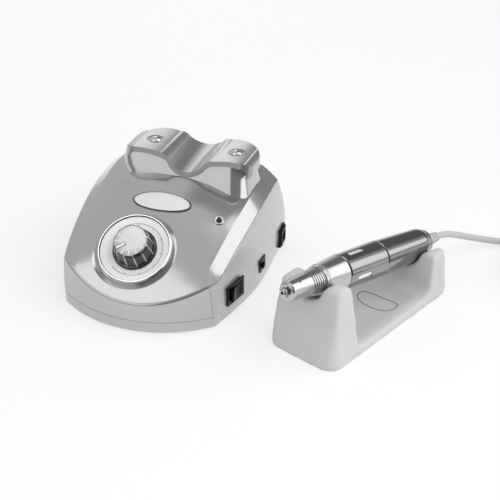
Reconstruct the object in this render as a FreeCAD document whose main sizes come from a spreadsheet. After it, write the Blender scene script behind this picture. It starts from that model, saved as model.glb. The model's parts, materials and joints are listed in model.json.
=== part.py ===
# Surgical micromotor: control unit with saddle, straight motor handpiece, stand and cord
import FreeCAD
import Part
import Sketcher
import math
import os
import re

Vector = FreeCAD.Vector
doc = FreeCAD.newDocument("surgical_micromotor")

# Driving dimensions, in millimetres and degrees
SIZES = {
    "place of the three things on the table": {
        "unit_x": -66.56, "unit_y": -61.37,
        "stand_x": 97.1, "stand_y": -3.5, "stand_yaw": 24.6,
        "hand_x": 131.0, "hand_y": 2.6, "hand_z": 54.6, "hand_yaw": 26.0, "hand_pitch": 11.5,
    },
    "clearances": {
        "seam": 0.3, "seat_gap": 0.3, "slip": 0.05, "turn_gap": 0.08, "press": 0.02,
    },
    "unit shell": {
        "shell_wall": 2.6, "floor_wall": 3.0, "foot_proud": 1.0, "seam_z": 8.6, "brow_round": 3.5,
        "front_apex": -18.0, "front_radius": 86.7, "front_lean": 8.0,
        "outline_half": 80.0, "rear_apex": 150.0, "rear_corner_x": 50.0, "rear_corner_y": 117.0,
        "rear_bow": 4.0, "rear_corner_rise": 8.5, "rear_lean": 6.0, "outline_top": 95.0,
        "cheek_front": 3.9, "cheek_rear": 131.0, "cheek_inner": 40.0,
        "cheek_bow_rear": 0.63, "cheek_bow_deck": 0.52, "cheek_bow_plate": 0.47,
        "back_panel_half": 46.0, "back_panel_top": 40.0, "back_panel_start": 134.0,
    },
    "cross section at the front edge": {
        "y_front": -20.0, "low_front": 49.5, "bulge_front": 0.6, "cheek_x_front": 50.0,
        "cheek_z_front": 19.0, "band_x_front": 43.0, "band_z_front": 19.3, "crown_front": 19.8,
    },
    "cross section at the brow corners": {
        "y_brow": 4.0, "low_brow": 57.6, "bulge_brow": 0.8, "cheek_x_brow": 57.8,
        "cheek_z_brow": 34.0, "band_x_brow": 47.5, "band_z_brow": 34.9, "crown_brow": 35.5,
    },
    "cross section at the dial": {
        "y_dial": 20.0, "low_dial": 62.6, "bulge_dial": 1.4, "cheek_x_dial": 60.8,
        "cheek_z_dial": 39.0, "band_x_dial": 50.5, "band_z_dial": 42.6, "crown_dial": 45.6,
    },
    "cross section at the nameplate": {
        "y_plate": 57.0, "low_plate": 71.6, "bulge_plate": 2.8, "cheek_x_plate": 64.6,
        "cheek_z_plate": 47.5, "band_x_plate": 54.2, "band_z_plate": 53.0, "crown_plate": 64.6,
    },
    "cross section at the pillar": {
        "y_deck": 92.0, "low_deck": 73.4, "bulge_deck": 3.8, "cheek_x_deck": 66.5,
        "cheek_z_deck": 52.0, "band_x_deck": 57.3, "band_z_deck": 59.0, "crown_deck": 69.0,
    },
    "cross section behind the saddle": {
        "y_rear": 128.0, "low_rear": 72.4, "bulge_rear": 4.3, "cheek_x_rear": 66.5,
        "cheek_z_rear": 51.5, "band_x_rear": 55.5, "band_z_rear": 60.0, "crown_rear": 68.0,
    },
    "cross section at the back": {
        "y_back": 154.0, "low_back": 69.0, "bulge_back": 4.3, "cheek_x_back": 64.0,
        "cheek_z_back": 49.0, "band_x_back": 52.0, "band_z_back": 57.0, "crown_back": 64.0,
    },
    "pillar and saddle": {
        "saddle_x": 7.6, "saddle_pivot": 110.0, "saddle_yaw": -3.0, "pillar_half": 47.0,
        "pillar_front": 84.0, "pillar_corner": 13.0, "pillar_back": 137.0, "pillar_tail_corner": 21.0,
        "pillar_low": 52.0, "pillar_mid": 61.0, "pillar_neck": 71.0, "pillar_top": 87.0,
        "pillar_lean": 14.0, "pillar_draft": 2.0, "flare_low": 5.0, "flare_mid": 2.2,
        "saddle_half": 50.8, "saddle_lip": 1.0, "saddle_corner": 10.0, "saddle_tail_corner": 28.5,
        "saddle_wall": 3.6, "saddle_skirt": 10.0, "ear_round": 6.0, "ear_inner": 21.5, "ear_rise": 0.9,
        "flank_half": 13.5, "flank_rise": 1.2, "flank_share": 0.52, "ear_z_lip": 85.0,
        "ear_z_tail": 82.4, "valley_z_lip": 72.6, "valley_z_tail": 74.2, "saddle_tail": 137.0,
        "screw_boss": 4.6, "screw_x": 33.0, "screw_y": 114.0, "screw_head": 4.4, "screw_recess": 6.6,
        "screw_shank": 1.9, "screw_length": 16.0, "screw_dome": 1.9, "recess_depth": 1.3,
    },
    "speed dial": {
        "dial_x": -8.1, "dial_y": 20.1, "dial_z": 45.2, "dial_tilt": 33.0, "bezel_radius": 27.7,
        "bezel_rim": 2.0, "bezel_high": 1.6, "dial_depth": 2.4, "dish_radius": 33.5, "cup_wall": 2.8,
        "cup_radius": 35.5, "plate_high": 0.6, "knob_flange": 16.5, "knob_flange_high": 2.4,
        "knob_low": 14.6, "knob_top": 12.6, "knob_high": 15.0, "knob_facets": 12, "facet_depth": 0.7,
        "pointer_angle": 39.0, "pointer_wide": 2.2, "pointer_long": 9.0, "pointer_deep": 0.8, "pot_radius": 8.2,
        "pot_high": 9.5, "bushing_radius": 3.6, "bushing_high": 5.0, "shaft_radius": 3.0,
        "shaft_high": 11.5, "nut_radius": 5.6, "nut_high": 2.2,
    },
    "nameplate and lamp": {
        "name_y": 57.8, "name_z": 65.0, "name_tilt": 26.5, "name_half_long": 22.7,
        "name_half_wide": 9.0, "name_thick": 0.8, "lamp_x": 44.6, "lamp_y": 56.0, "lamp_z": 57.2,
        "lamp_tilt": 25.0, "lamp_roll": 17.0, "lamp_radius": 2.6, "lamp_bezel": 3.7,
        "lamp_flange": 0.9, "lens_dome": 1.1, "lamp_deep": 7.0, "lamp_wall": 0.6,
    },
    "power switch": {
        "rocker_x": 65.3, "rocker_y": 26.6, "rocker_z": 18.6, "rocker_yaw": 16.0,
        "switch_long": 18.4, "switch_high": 13.0, "switch_rim": 1.3, "switch_flange": 1.4,
        "switch_deep": 13.0, "rocker_stand": 2.6, "rocker_slack": 0.35,
        "pivot_radius": 1.2, "rocker_tilt": 8.0,
    },
    "slide switch": {
        "slide_x": 73.3, "slide_y": 70.0, "slide_z": 16.6, "slide_yaw": 3.0, "slide_long": 8.6,
        "slide_high": 7.8, "slide_flange": 0.8, "slide_deep": 7.0, "slot_long": 7.0, "slot_high": 3.4,
        "tab_long": 3.4, "tab_stand": 2.0, "tab_slack": 0.15, "tab_root": 3.0,
    },
    "handpiece socket": {
        "socket_x": 74.0, "socket_y": 118.0, "socket_z": 13.6, "socket_yaw": -2.5,
        "socket_long": 14.0, "socket_high": 15.0, "socket_stand": 3.2, "socket_deep": 16.0,
        "socket_bore_deep": 9.5, "contact_radius": 1.0, "contact_long": 4.0,
    },
    "back connections": {
        "inlet_x": -24.0, "inlet_z": 26.0, "inlet_long": 28.0, "inlet_high": 20.0,
        "inlet_deep": 15.0, "inlet_flange": 2.0, "inlet_well_long": 22.0, "inlet_well_high": 14.0,
        "inlet_well_deep": 11.0, "fuse_x": 4.0, "jack_x": 28.0, "jack_z": 26.0, "fuse_radius": 6.4,
        "fuse_stand": 5.0, "fuse_deep": 20.0, "jack_nut": 5.6, "jack_bore": 3.2, "jack_body": 4.4,
        "jack_deep": 18.0, "jack_stand": 2.6, "back_seat": 147.5, "back_seat_wall": 3.4,
    },
    "inside the unit": {
        "core_x": -30.0, "core_y": 105.0, "core_long": 46.0, "core_wide": 30.0, "core_high": 38.0,
        "core_leg": 8.0, "winding_pad": 6.4, "board_x": 22.0, "board_y": 80.0, "board_long": 56.0,
        "board_wide": 62.0, "board_z": 12.0, "board_thick": 1.6, "post_radius": 3.0,
        "post_inset": 5.0,
    },
    "feet": {
        "foot_radius": 6.5, "foot_high": 2.4, "foot_x": 48.0, "foot_front": 14.0, "foot_back": 128.0,
        "base_screw_head": 2.9, "base_screw_shank": 1.4, "base_screw_long": 9.0,
        "base_screw_x": 36.0, "base_screw_front": 10.0, "base_screw_back": 134.0,
        "base_boss": 4.0, "base_recess": 1.6,
    },
    "handpiece outside": {
        "nose_start": -31.4, "nose_face": 4.7, "nose_round": 2.2, "nose_mouth": 3.8,
        "nose_end": 0.5, "nose_radius": 9.8, "rib_start": -11.4, "rib_count": 6,
        "rib_step": 2.0, "rib_deep": 0.45, "rib_wide": 0.9, "band_end": 3.5, "band_radius": 11.0,
        "nose_hole": 1.1, "nose_hole_deep": 0.7, "nose_hole_at": -22.5, "nose_hole_turn": -63.0,
        "collar_end": 24.3, "collar_front": 10.9, "collar_radius": 12.9, "groove_wide": 0.5,
        "ring_end": 67.6, "ring_radius": 13.3, "ring_front": 12.9, "flat_count": 4, "flat_deep": 0.8,
        "flat_long": 16.0, "flat_start": 32.0, "flat_wide": 3.4, "flat_turn": 4.0, "sleeve_end": 123.0,
        "sleeve_radius": 13.2, "sleeve_tail": 11.4, "cap_end": 129.0, "cap_radius": 9.0,
        "relief_end": 146.0, "relief_radius": 5.2, "relief_tail": 3.3, "relief_root": 4.2,
    },
    "handpiece inside": {
        "bur_radius": 1.2, "collet_radius": 2.2, "collet_tip": -35.5, "collet_head": 3.0,
        "collet_end": -12.0, "collet_slot": 0.5, "spindle_radius": 3.2, "spindle_bore": 2.25,
        "spindle_start": -30.6, "spindle_end": 44.0, "bearing_radius": 6.0, "bearing_high": 4.0,
        "bearing_front": -26.0, "bearing_back": 5.0, "bearing_wall": 1.0, "barrel_radius": 10.4,
        "barrel_bore": 8.2, "barrel_start": 11.0, "barrel_end": 74.0, "can_radius": 10.6,
        "can_bore": 9.8, "can_start": 74.3, "can_end": 108.0, "magnet_bore": 7.6, "rotor_radius": 7.2,
        "rotor_start": 78.0, "rotor_end": 102.0, "shaft_thin": 2.0, "shaft_end": 121.0,
        "commutator_radius": 3.6, "commutator_start": 109.0, "commutator_end": 115.5,
        "carrier_start": 108.3, "carrier_end": 116.2, "carrier_radius": 10.2, "brush_wide": 2.4,
        "brush_reach": 8.4, "rear_bearing": 117.2, "rear_bearing_high": 3.2, "rear_bearing_radius": 5.0,
    },
    "stand": {
        "stand_wide": 60.3, "stand_long": 143.0, "stand_corner": 11.0, "stand_peak": 58.9,
        "stand_lean": 10.5, "stand_side_lean": 5.5, "front_peak_y": 16.5, "front_peak_back": 27.0,
        "front_wall_back": 31.0, "trough_z": 7.0, "rear_peak": 37.0, "rear_peak_wide": 17.0,
        "rear_slope": 4.0, "tail_lean": 4.0, "left_front_peak": 55.0, "left_rear_peak": 27.5,
        "edge_round": 8.0, "edge_bow": 0.2,
        "notch_front": 11.9, "front_flare": 7.0, "front_lift": 4.3, "notch_rear": 12.6,
        "rear_flare": 6.0, "rear_lift": 2.5, "notch_round": 3.0, "peak_round": 5.0,
        "trough_round": 8.0, "trough_bow": 2.2, "step_round": 5.0, "step_bow": 1.4,
        "scoop_radius": 62.0, "scoop_deep": 3.5,
    },
    "cord and plug": {
        "cord_radius": 2.5, "coil_inner": 23.0, "coil_pitch": 6.5, "coil_layer": 5.6,
        "coil_turns": 8, "plug_x": 341.0, "plug_y": 114.0, "plug_radius": 6.4, "plug_long": 26.0, "plug_relief": 12.0,
        "plug_relief_radius": 3.4, "plug_nose": 4.4, "plug_nose_long": 9.0, "plug_wall": 0.5,
        "pin_radius": 0.5, "pin_circle": 2.4, "pin_long": 10.5, "socket_slack": 0.2,
    },
}

sheet = doc.addObject("Spreadsheet::Sheet", "Sizes")
ruler = doc.addObject("Part::LocalCoordinateSystem", "world_frame")
row = 1
NAMES = set()
for group, values in SIZES.items():
    sheet.set(f"A{row}", group)
    row += 1
    for name, number in values.items():
        sheet.set(f"A{row}", name)
        sheet.set(f"B{row}", str(number))
        sheet.setAlias(f"B{row}", name)
        NAMES.add(name)
        row += 1
doc.recompute()


def full(text):
    """Turns a formula in bare size names into one that points at the sheet."""
    return re.sub(r"[a-z]\w*", lambda m: f"Sizes.{m[0]}" if m[0] in NAMES else m[0], str(text))


def value(text):
    """The number that a formula in size names gives now."""
    result = ruler.evalExpression(full(text))
    return float(getattr(result, "Value", result))


def frame(name, parent, x, y, z, yaw="0", pitch="0", roll="0"):
    """A local frame whose place follows its parent frame and the sheet."""
    made = doc.addObject("Part::LocalCoordinateSystem", name)
    place = placed(x, y, z, yaw, pitch, roll)
    made.setExpression("Placement", f"{parent.Name}.Placement * {place}" if parent else place)
    doc.recompute()
    return made


def placed(x, y, z, yaw="0", pitch="0", roll="0"):
    """The formula of a placement."""
    move = f"create(<<vector>>; {full(x)}; {full(y)}; {full(z)})"
    turn = f"create(<<rotation>>; {full(yaw)}; {full(pitch)}; {full(roll)})"
    return f"create(<<placement>>; {move}; {turn})"


def put(item, base, x="0", y="0", z="0", yaw="0", pitch="0", roll="0"):
    """Binds the place of an item to a frame, with an offset in that frame."""
    item.setExpression("Placement", f"{base.Name}.Placement * {placed(x, y, z, yaw, pitch, roll)}")
    return item


def draw(sketch, corners):
    """A closed outline. Each corner is (x, y), or (x, y, rise) where the edge that leaves it is an
    arc that bows out by rise to the right of its travel."""
    points = [Vector(value(c[0]), value(c[1]), 0) for c in corners]
    first = sketch.GeometryCount
    starts = []
    for i, corner in enumerate(corners):
        start = points[i]
        end = points[(i + 1) % len(points)]
        rise = value(corner[2]) if len(corner) == 3 else 0
        if rise == 0:
            sketch.addGeometry(Part.LineSegment(start, end), False)
            starts.append(1)
            continue
        side = (end - start).cross(Vector(0, 0, 1)).normalize()
        middle = (start + end) * 0.5 + side * rise
        ends = (start, middle, end) if rise > 0 else (end, middle, start)
        sketch.addGeometry(Part.Arc(*ends), False)
        starts.append(1 if rise > 0 else 2)
    for i, corner in enumerate(corners):
        last = (i - 1) % len(corners)
        here = first + i
        sketch.addConstraint(Sketcher.Constraint("Coincident", first + last, 3 - starts[last], here, starts[i]))
        held(sketch, corner[0], "DistanceX", -1, 1, here, starts[i])
        held(sketch, corner[1], "DistanceY", -1, 1, here, starts[i])
        if len(corner) == 3:
            following = corners[(i + 1) % len(corners)]
            wide = f"(({following[0]}) - ({corner[0]}))^2 + (({following[1]}) - ({corner[1]}))^2"
            rise = f"abs({corner[2]})"
            held(sketch, f"({wide}) / (8 * {rise}) + {rise} / 2", "Radius", here)
    return sketch


def held(sketch, text, kind, *where):
    """Adds a dimension and binds it to its formula."""
    index = sketch.addConstraint(Sketcher.Constraint(kind, *where, value(text)))
    sketch.setExpression(f"Constraints[{index}]", full(text))


def draw_circle(sketch, x, y, radius):
    """A circle whose centre and radius follow the sheet."""
    index = sketch.GeometryCount
    middle = Vector(value(x), value(y), 0)
    sketch.addGeometry(Part.Circle(middle, Vector(0, 0, 1), value(radius)), False)
    held(sketch, x, "DistanceX", -1, 1, index, 3)
    held(sketch, y, "DistanceY", -1, 1, index, 3)
    held(sketch, radius, "Radius", index)
    return sketch


def free_sketch(name, base, corners, x="0", y="0", z="0", yaw="0", pitch="0", roll="0"):
    """A sketch outside any body, set in a frame."""
    sketch = doc.addObject("Sketcher::SketchObject", name)
    draw(sketch, corners)
    return put(sketch, base, x, y, z, yaw, pitch, roll)


def plane(body, role):
    """One of a body's own origin planes."""
    return [item for item in body.Origin.OriginFeatures if item.Role == role][0]


def new_body(name, base, x="0", y="0", z="0", yaw="0", pitch="0", roll="0"):
    """An empty body set in a frame."""
    body = doc.addObject("PartDesign::Body", name)
    put(body, base, x, y, z, yaw, pitch, roll)
    return body


def body_sketch(body, name, role="XY_Plane", level="0"):
    """A sketch on an origin plane of its body, lifted off that plane by level."""
    sketch = body.newObject("Sketcher::SketchObject", f"{body.Name}_{name}")
    sketch.AttachmentSupport = [(plane(body, role), "")]
    sketch.MapMode = "FlatFace"
    sketch.setExpression("AttachmentOffset.Base.z", full(level))
    return sketch


def pad(body, name, corners, length, level="0"):
    """Raises an outline from level by length along the body's Z axis."""
    sketch = draw(body_sketch(body, f"{name}_outline", "XY_Plane", level), corners)
    made = body.newObject("PartDesign::Pad", f"{body.Name}_{name}")
    made.Profile = sketch
    made.setExpression("Length", full(length))
    body.Tip = made
    return made


def pocket(body, name, outline, depth, level):
    """Sinks an outline from level downwards by depth."""
    sketch = body_sketch(body, f"{name}_outline", "XY_Plane", level)
    if len(outline) == 3 and isinstance(outline[0], str):
        draw_circle(sketch, *outline)
    else:
        draw(sketch, outline)
    made = body.newObject("PartDesign::Pocket", f"{body.Name}_{name}")
    made.Profile = sketch
    made.setExpression("Length", full(depth))
    body.Tip = made
    return made


def around(body, name, feature, count):
    """Repeats a feature about the body's Z axis."""
    made = body.newObject("PartDesign::PolarPattern", f"{body.Name}_{name}")
    made.Originals = [feature]
    made.Axis = (feature.Profile[0], ["N_Axis"])
    made.Angle = 360
    made.setExpression("Occurrences", full(count))
    body.Tip = made
    return made


def turned(name, base, corners):
    """A body turned about its Z axis from corners (radius, height)."""
    body = new_body(name, base)
    sketch = draw(body_sketch(body, "profile", "XZ_Plane"), corners)
    made = body.newObject("PartDesign::Revolution", f"{name}_turn")
    made.Profile = sketch
    made.ReferenceAxis = (sketch, ["V_Axis"])
    made.Angle = 360
    body.Tip = made
    return body


def tube(inner, outer, low, high):
    """The half section of a plain ring."""
    return [(inner, low), (outer, low), (outer, high), (inner, high)]


def dome(radius, high):
    """The rise of an arc that runs from a rim to a top on the axis, level at the top."""
    chord = f"sqrt(({radius})^2 + ({high})^2)"
    return f"{chord} * ({chord} - ({radius})) / (2 * ({high}))"


def quarter(radius):
    """The rise of a quarter circle."""
    return f"({radius}) * (1 - sqrt(0.5))"


def rectangle(long, wide, x="0", y="0"):
    """A rectangle about (x, y)."""
    left, right = f"{x} - ({long}) / 2", f"{x} + ({long}) / 2"
    low, high = f"{y} - ({wide}) / 2", f"{y} + ({wide}) / 2"
    return [(left, low), (right, low), (right, high), (left, high)]


def block(name, base, long, wide, high, x="0", y="0", z="0"):
    """A box that stands on z, centred on (x, y), in a frame."""
    made = doc.addObject("Part::Box", name)
    for side, size in (("Length", long), ("Width", wide), ("Height", high)):
        made.setExpression(side, full(size))
    return put(made, base, f"{x} - ({long}) / 2", f"{y} - ({wide}) / 2", z)


def rod(name, base, radius, high, x="0", y="0", z="0", yaw="0", pitch="0", roll="0"):
    """A cylinder along a frame's Z axis."""
    made = doc.addObject("Part::Cylinder", name)
    made.setExpression("Radius", full(radius))
    made.setExpression("Height", full(high))
    return put(made, base, x, y, z, yaw, pitch, roll)


def cone(name, base, low, top, high, z="0"):
    """A cone along a frame's Z axis."""
    made = doc.addObject("Part::Cone", name)
    for side, size in (("Radius1", low), ("Radius2", top), ("Height", high)):
        made.setExpression(side, full(size))
    return put(made, base, "0", "0", z)


def loft(name, sections, ruled=False):
    made = doc.addObject("Part::Loft", name)
    made.Sections = sections
    made.Solid = True
    made.Ruled = ruled
    return made


def extruded(name, sketch, length):
    made = doc.addObject("Part::Extrusion", name)
    made.Base = sketch
    made.DirMode = "Normal"
    made.Solid = True
    made.setExpression("LengthFwd", full(length))
    return made


def fuse(name, *parts):
    made = doc.addObject("Part::MultiFuse", name)
    made.Shapes = list(parts)
    return made


def common(name, *parts):
    made = doc.addObject("Part::MultiCommon", name)
    made.Shapes = list(parts)
    return made


def cut(name, base, *tools):
    made = doc.addObject("Part::Cut", name)
    made.Base = base
    made.Tool = tools[0] if len(tools) == 1 else fuse(f"{name}_tools", *tools)
    return made


def rounded(name, base, radius, chosen):
    """Fillets the edges of a base that a test chooses."""
    doc.recompute()
    made = doc.addObject("Part::Fillet", name)
    made.Base = base
    size = value(radius)
    edges = [i for i, edge in enumerate(base.Shape.Edges, 1) if chosen(edge)]
    made.Edges = [(i, size, size) for i in edges]
    return made



NODES = {}


def node(name, item):
    """Names a finished sub-part."""
    item.Label = name
    NODES[name] = item
    return item


unit = frame("unit_frame", None, "unit_x", "unit_y", "0")

# Unit shell: lofted cross sections, trimmed in plan by a bowed outline that leans inwards
STATIONS = ("front", "brow", "dial", "plate", "deck", "rear", "back")


def hull_section(station, inset, bottom):
    low = f"low_{station} - {inset}"
    cheek = (f"cheek_x_{station} - {inset}", f"cheek_z_{station} - {inset}")
    band = (f"band_x_{station} - {inset}", f"band_z_{station} - {inset}")
    bulge = f"bulge_{station}"
    corners = [
        (f"-({low})", bottom),
        (low, bottom, bulge),
        cheek,
        (*band, f"crown_{station} - band_z_{station}"),
        (f"-({band[0]})", band[1]),
        (f"-({cheek[0]})", cheek[1], bulge),
    ]
    name = f"{'inner' if inset != '0' else 'outer'}_section_{station}"
    return free_sketch(name, unit, corners, y=f"y_{station}", roll="90")


def plan_outline(name, inset, level, lean_front, lean_rear):
    half = f"outline_half - {inset}"
    apex = f"front_apex + {inset} + {lean_front}"
    radius = f"(front_radius - {inset})"
    front = f"{apex} + {radius} - sqrt({radius}^2 - ({half})^2)"
    rear = f"rear_apex - {inset} - {lean_rear} - rear_bow"
    corner = f"rear_corner_y - {inset} - {lean_rear}"
    rear_x = f"rear_corner_x - {inset}"
    corners = [
        (f"-({half})", front, f"({front}) - ({apex})"),
        (half, front),
        (half, corner, "rear_corner_rise"),
        (rear_x, rear, "rear_bow"),
        (f"-({rear_x})", rear, "rear_corner_rise"),
        (f"-({half})", corner),
    ]
    return free_sketch(name, unit, corners, z=level)


def hull(name, inset, bottom):
    sections = [hull_section(station, inset, bottom) for station in STATIONS]
    low = plan_outline(f"{name}_plan_low", inset, "0", "0", "0")
    high = plan_outline(f"{name}_plan_high", inset, "outline_top", "front_lean", "rear_lean")
    body = loft(f"{name}_loft", sections)
    return common(name, body, loft(f"{name}_plan", [low, high], True))


def is_brow(edge):
    """The long edge where the top meets the front wall."""
    middle = edge.valueAt((edge.FirstParameter + edge.LastParameter) / 2)
    start = value("unit_y + front_apex")
    return edge.Length > 60 and middle.y < start + 6 and middle.z > value("seam_z") + 5


outer_hull = hull("outer_hull", "0", "foot_proud")
inner_hull = hull("inner_hull", "shell_wall", "foot_proud + floor_wall")
brow = rounded("browed_hull", outer_hull, "brow_round", is_brow)


saddle = frame("saddle_frame", unit, "saddle_x", "saddle_pivot", "0", yaw="saddle_yaw")


def pillar_plan(name, level, grow, inset):
    """The pillar's outline at a level, grown by its flare and drawn in by the inset of a wall."""
    lean = f"pillar_lean * ({level} - pillar_low) / (pillar_top - pillar_low)"
    half = f"(pillar_half + {grow} - {inset})"
    front = f"(pillar_front + {lean} - {grow} + {inset} - saddle_pivot)"
    rear = f"(pillar_back + ({grow}) * 0.5 - {inset} - saddle_pivot)"
    corners = [
        (f"pillar_corner - {half}", front),
        (f"{half} - pillar_corner", front, quarter("pillar_corner")),
        (half, f"{front} + pillar_corner"),
        (half, f"{rear} - pillar_tail_corner", quarter("pillar_tail_corner")),
        (f"{half} - pillar_tail_corner", rear),
        (f"pillar_tail_corner - {half}", rear, quarter("pillar_tail_corner")),
        (f"-{half}", f"{rear} - pillar_tail_corner"),
        (f"-{half}", f"{front} + pillar_corner", quarter("pillar_corner")),
    ]
    return free_sketch(name, saddle, corners, z=level)


def pillar_form(name, inset):
    """The pillar: a foot that flares into the hull, a neck and a slight draft to the top."""
    return loft(name, [
        pillar_plan(f"{name}_low", "pillar_low", "flare_low", inset),
        pillar_plan(f"{name}_mid", "pillar_mid", "flare_mid", inset),
        pillar_plan(f"{name}_neck", "pillar_neck", "0", inset),
        pillar_plan(f"{name}_high", "pillar_top", "-pillar_draft", inset),
    ])


pillar = pillar_form("pillar", "0")


def saddle_curve(where, drop, shrink):
    """The saddle's cross section from its right end to its left end, lowered by drop."""
    half = f"(saddle_half - {shrink})"
    ear = f"(ear_z_{where} - {drop})"
    valley = f"(valley_z_{where} - {drop})"
    flank = f"({valley} + flank_share * ({ear} - {valley}))"
    return [
        (half, f"{ear} - ear_round", "ear_round * 0.4"),
        (f"{half} - ear_round", ear, "ear_rise"),
        ("ear_inner", f"{ear} - ear_rise", "flank_rise"),
        ("flank_half", flank, f"{valley} - {flank}"),
        ("-flank_half", flank, "flank_rise"),
        ("-ear_inner", f"{ear} - ear_rise", "ear_rise"),
        (f"ear_round - {half}", ear, "ear_round * 0.4"),
        (f"-{half}", f"{ear} - ear_round"),
    ]


def saddle_section(where, at):
    over = saddle_curve(where, "0", "0")
    under = saddle_curve(where, "saddle_wall", "saddle_wall")[::-1]
    risen = []
    for i, corner in enumerate(under):
        following = under[i + 1] if i + 1 < len(under) else ()
        rise = following[2] if len(following) == 3 else None
        risen.append((*corner[:2], f"-({rise})") if rise else corner[:2])
    skirt = f"ear_z_{where} - saddle_skirt"
    left = [("-saddle_half", skirt), ("saddle_wall - saddle_half", skirt)]
    right = [("saddle_half - saddle_wall", skirt), ("saddle_half", skirt)]
    corners = over + left + risen + right
    return free_sketch(f"saddle_section_{where}", saddle, corners, y=f"{at} - saddle_pivot", roll="90")


def saddle_space(name, where, at, drop):
    """The room over the pillar from a drop below the saddle's top face, up to above its ears."""
    above = f"ear_z_{where} + 20"
    curve = saddle_curve(where, drop, "(saddle_wall + seat_gap)")
    corners = curve + [("-saddle_half - 20", above), ("saddle_half + 20", above)]
    return free_sketch(f"{name}_{where}", saddle, corners, y=f"{at} - saddle_pivot", roll="90")


def saddle_plan(name, level, lean):
    """The trim of the saddle in plan: small corners in front, large ones behind."""
    half = "(saddle_half + 1)"
    front = f"(pillar_front - saddle_lip + {lean} - saddle_pivot)"
    rear = "(saddle_tail - saddle_pivot)"
    corners = [
        (f"saddle_corner - {half}", front),
        (f"{half} - saddle_corner", front, quarter("saddle_corner")),
        (half, f"{front} + saddle_corner"),
        (half, f"{rear} - saddle_tail_corner", quarter("saddle_tail_corner")),
        (f"{half} - saddle_tail_corner", rear),
        (f"saddle_tail_corner - {half}", rear, quarter("saddle_tail_corner")),
        (f"-{half}", f"{rear} - saddle_tail_corner"),
        (f"-{half}", f"{front} + saddle_corner", quarter("saddle_corner")),
    ]
    return free_sketch(name, saddle, corners, z=level)


saddle_form = loft("saddle_form", [
    saddle_section("lip", "pillar_front - saddle_lip"),
    saddle_section("tail", "saddle_tail + saddle_lip"),
])
saddle_trim = loft("saddle_trim", [
    saddle_plan("saddle_plan_low", "pillar_low", "0"),
    saddle_plan("saddle_plan_high", "pillar_top", "pillar_lean"),
], True)


def saddle_room(name, drop):
    """The room that the saddle takes of the pillar."""
    return loft(name, [
        saddle_space(name, "lip", "pillar_front - saddle_lip", drop),
        saddle_space(name, "tail", "saddle_tail + saddle_lip", drop),
    ])


pillar_cut = cut("pillar_cut", pillar, saddle_room("saddle_bed", "(saddle_wall + seat_gap)"))
SIDES = (("right", "1"), ("left", "-1"))
EARS = [(side, f"{sign} * screw_x", "screw_y - saddle_pivot") for side, sign in SIDES]
screw_bosses = [rod(f"screw_boss_{side}", saddle, "screw_boss", "pillar_top", x, y)
                for side, x, y in EARS]
pillar_hollow = cut("pillar_hollow", pillar_form("pillar_core", "shell_wall"),
                    saddle_room("saddle_roof", "(saddle_wall + seat_gap + shell_wall)"), *screw_bosses)

# Base tray with its side cheeks, and the hood that closes it
side_roll = {"yaw": "90", "pitch": "0", "roll": "90"}


def cheek_outline(gap):
    corners = [
        (f"cheek_front - {gap}", "-5"),
        ("cheek_rear", "-5"),
        ("cheek_rear", f"cheek_z_rear + {gap}", "cheek_bow_rear"),
        ("y_deck", f"cheek_z_deck + {gap}", "cheek_bow_deck"),
        ("y_plate", f"cheek_z_plate + {gap}", "cheek_bow_plate"),
        ("y_dial", f"cheek_z_dial + {gap}"),
        (f"cheek_front - {gap}", f"cheek_z_brow + {gap}"),
    ]
    return corners


def tray_zone(name, gap):
    """The room that the tray takes of the shell, grown by the seam gap."""
    sides = []
    for side, start in (("right", "cheek_inner"), ("left", "-cheek_inner - 60")):
        sketch = free_sketch(f"{name}_{side}_outline", unit, cheek_outline(gap), x=start,
                             **side_roll)
        sides.append(extruded(f"{name}_{side}", sketch, "60"))
    slab = block(f"{name}_slab", unit, "2 * outline_half + 40", "260", f"seam_z + 5 + {gap}",
                 y="66", z="-5")
    panel = block(f"{name}_panel", unit, f"2 * (back_panel_half + {gap})", "60",
                  f"back_panel_top + {gap}", y="back_panel_start + 30")
    return fuse(name, slab, panel, *sides)


shell = cut("shell", brow, inner_hull)
tray_shell = common("tray_shell", shell, tray_zone("tray_zone", "0"))
hood_shell = cut("hood_shell", shell, tray_zone("hood_zone", "seam"))

# Places of the fittings
dial = frame("dial_frame", unit, "dial_x", "dial_y", "dial_z", roll="dial_tilt")
lamp = frame("lamp_frame", unit, "lamp_x", "lamp_y", "lamp_z", pitch="lamp_roll", roll="lamp_tilt")
power = frame("power_frame", unit, "rocker_x", "rocker_y", "rocker_z", "90 - rocker_yaw", "0", "90")
slide = frame("slide_frame", unit, "slide_x", "slide_y", "slide_z", "90 - slide_yaw", "0", "90")
socket = frame("socket_frame", unit, "socket_x", "socket_y", "socket_z", "90 - socket_yaw", "0", "90")
back = frame("back_frame", unit, "0", "back_seat", "0", "180", "0", "90")

CORNERS = [(f"{end}_{side}", f"{sign} * foot_x", f"foot_{end}") for end in ("front", "back")
           for side, sign in SIDES]
BASE_SCREWS = [(f"{end}_{side}", f"{sign} * base_screw_x", f"base_screw_{end}")
               for end in ("front", "back") for side, sign in SIDES]

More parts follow.
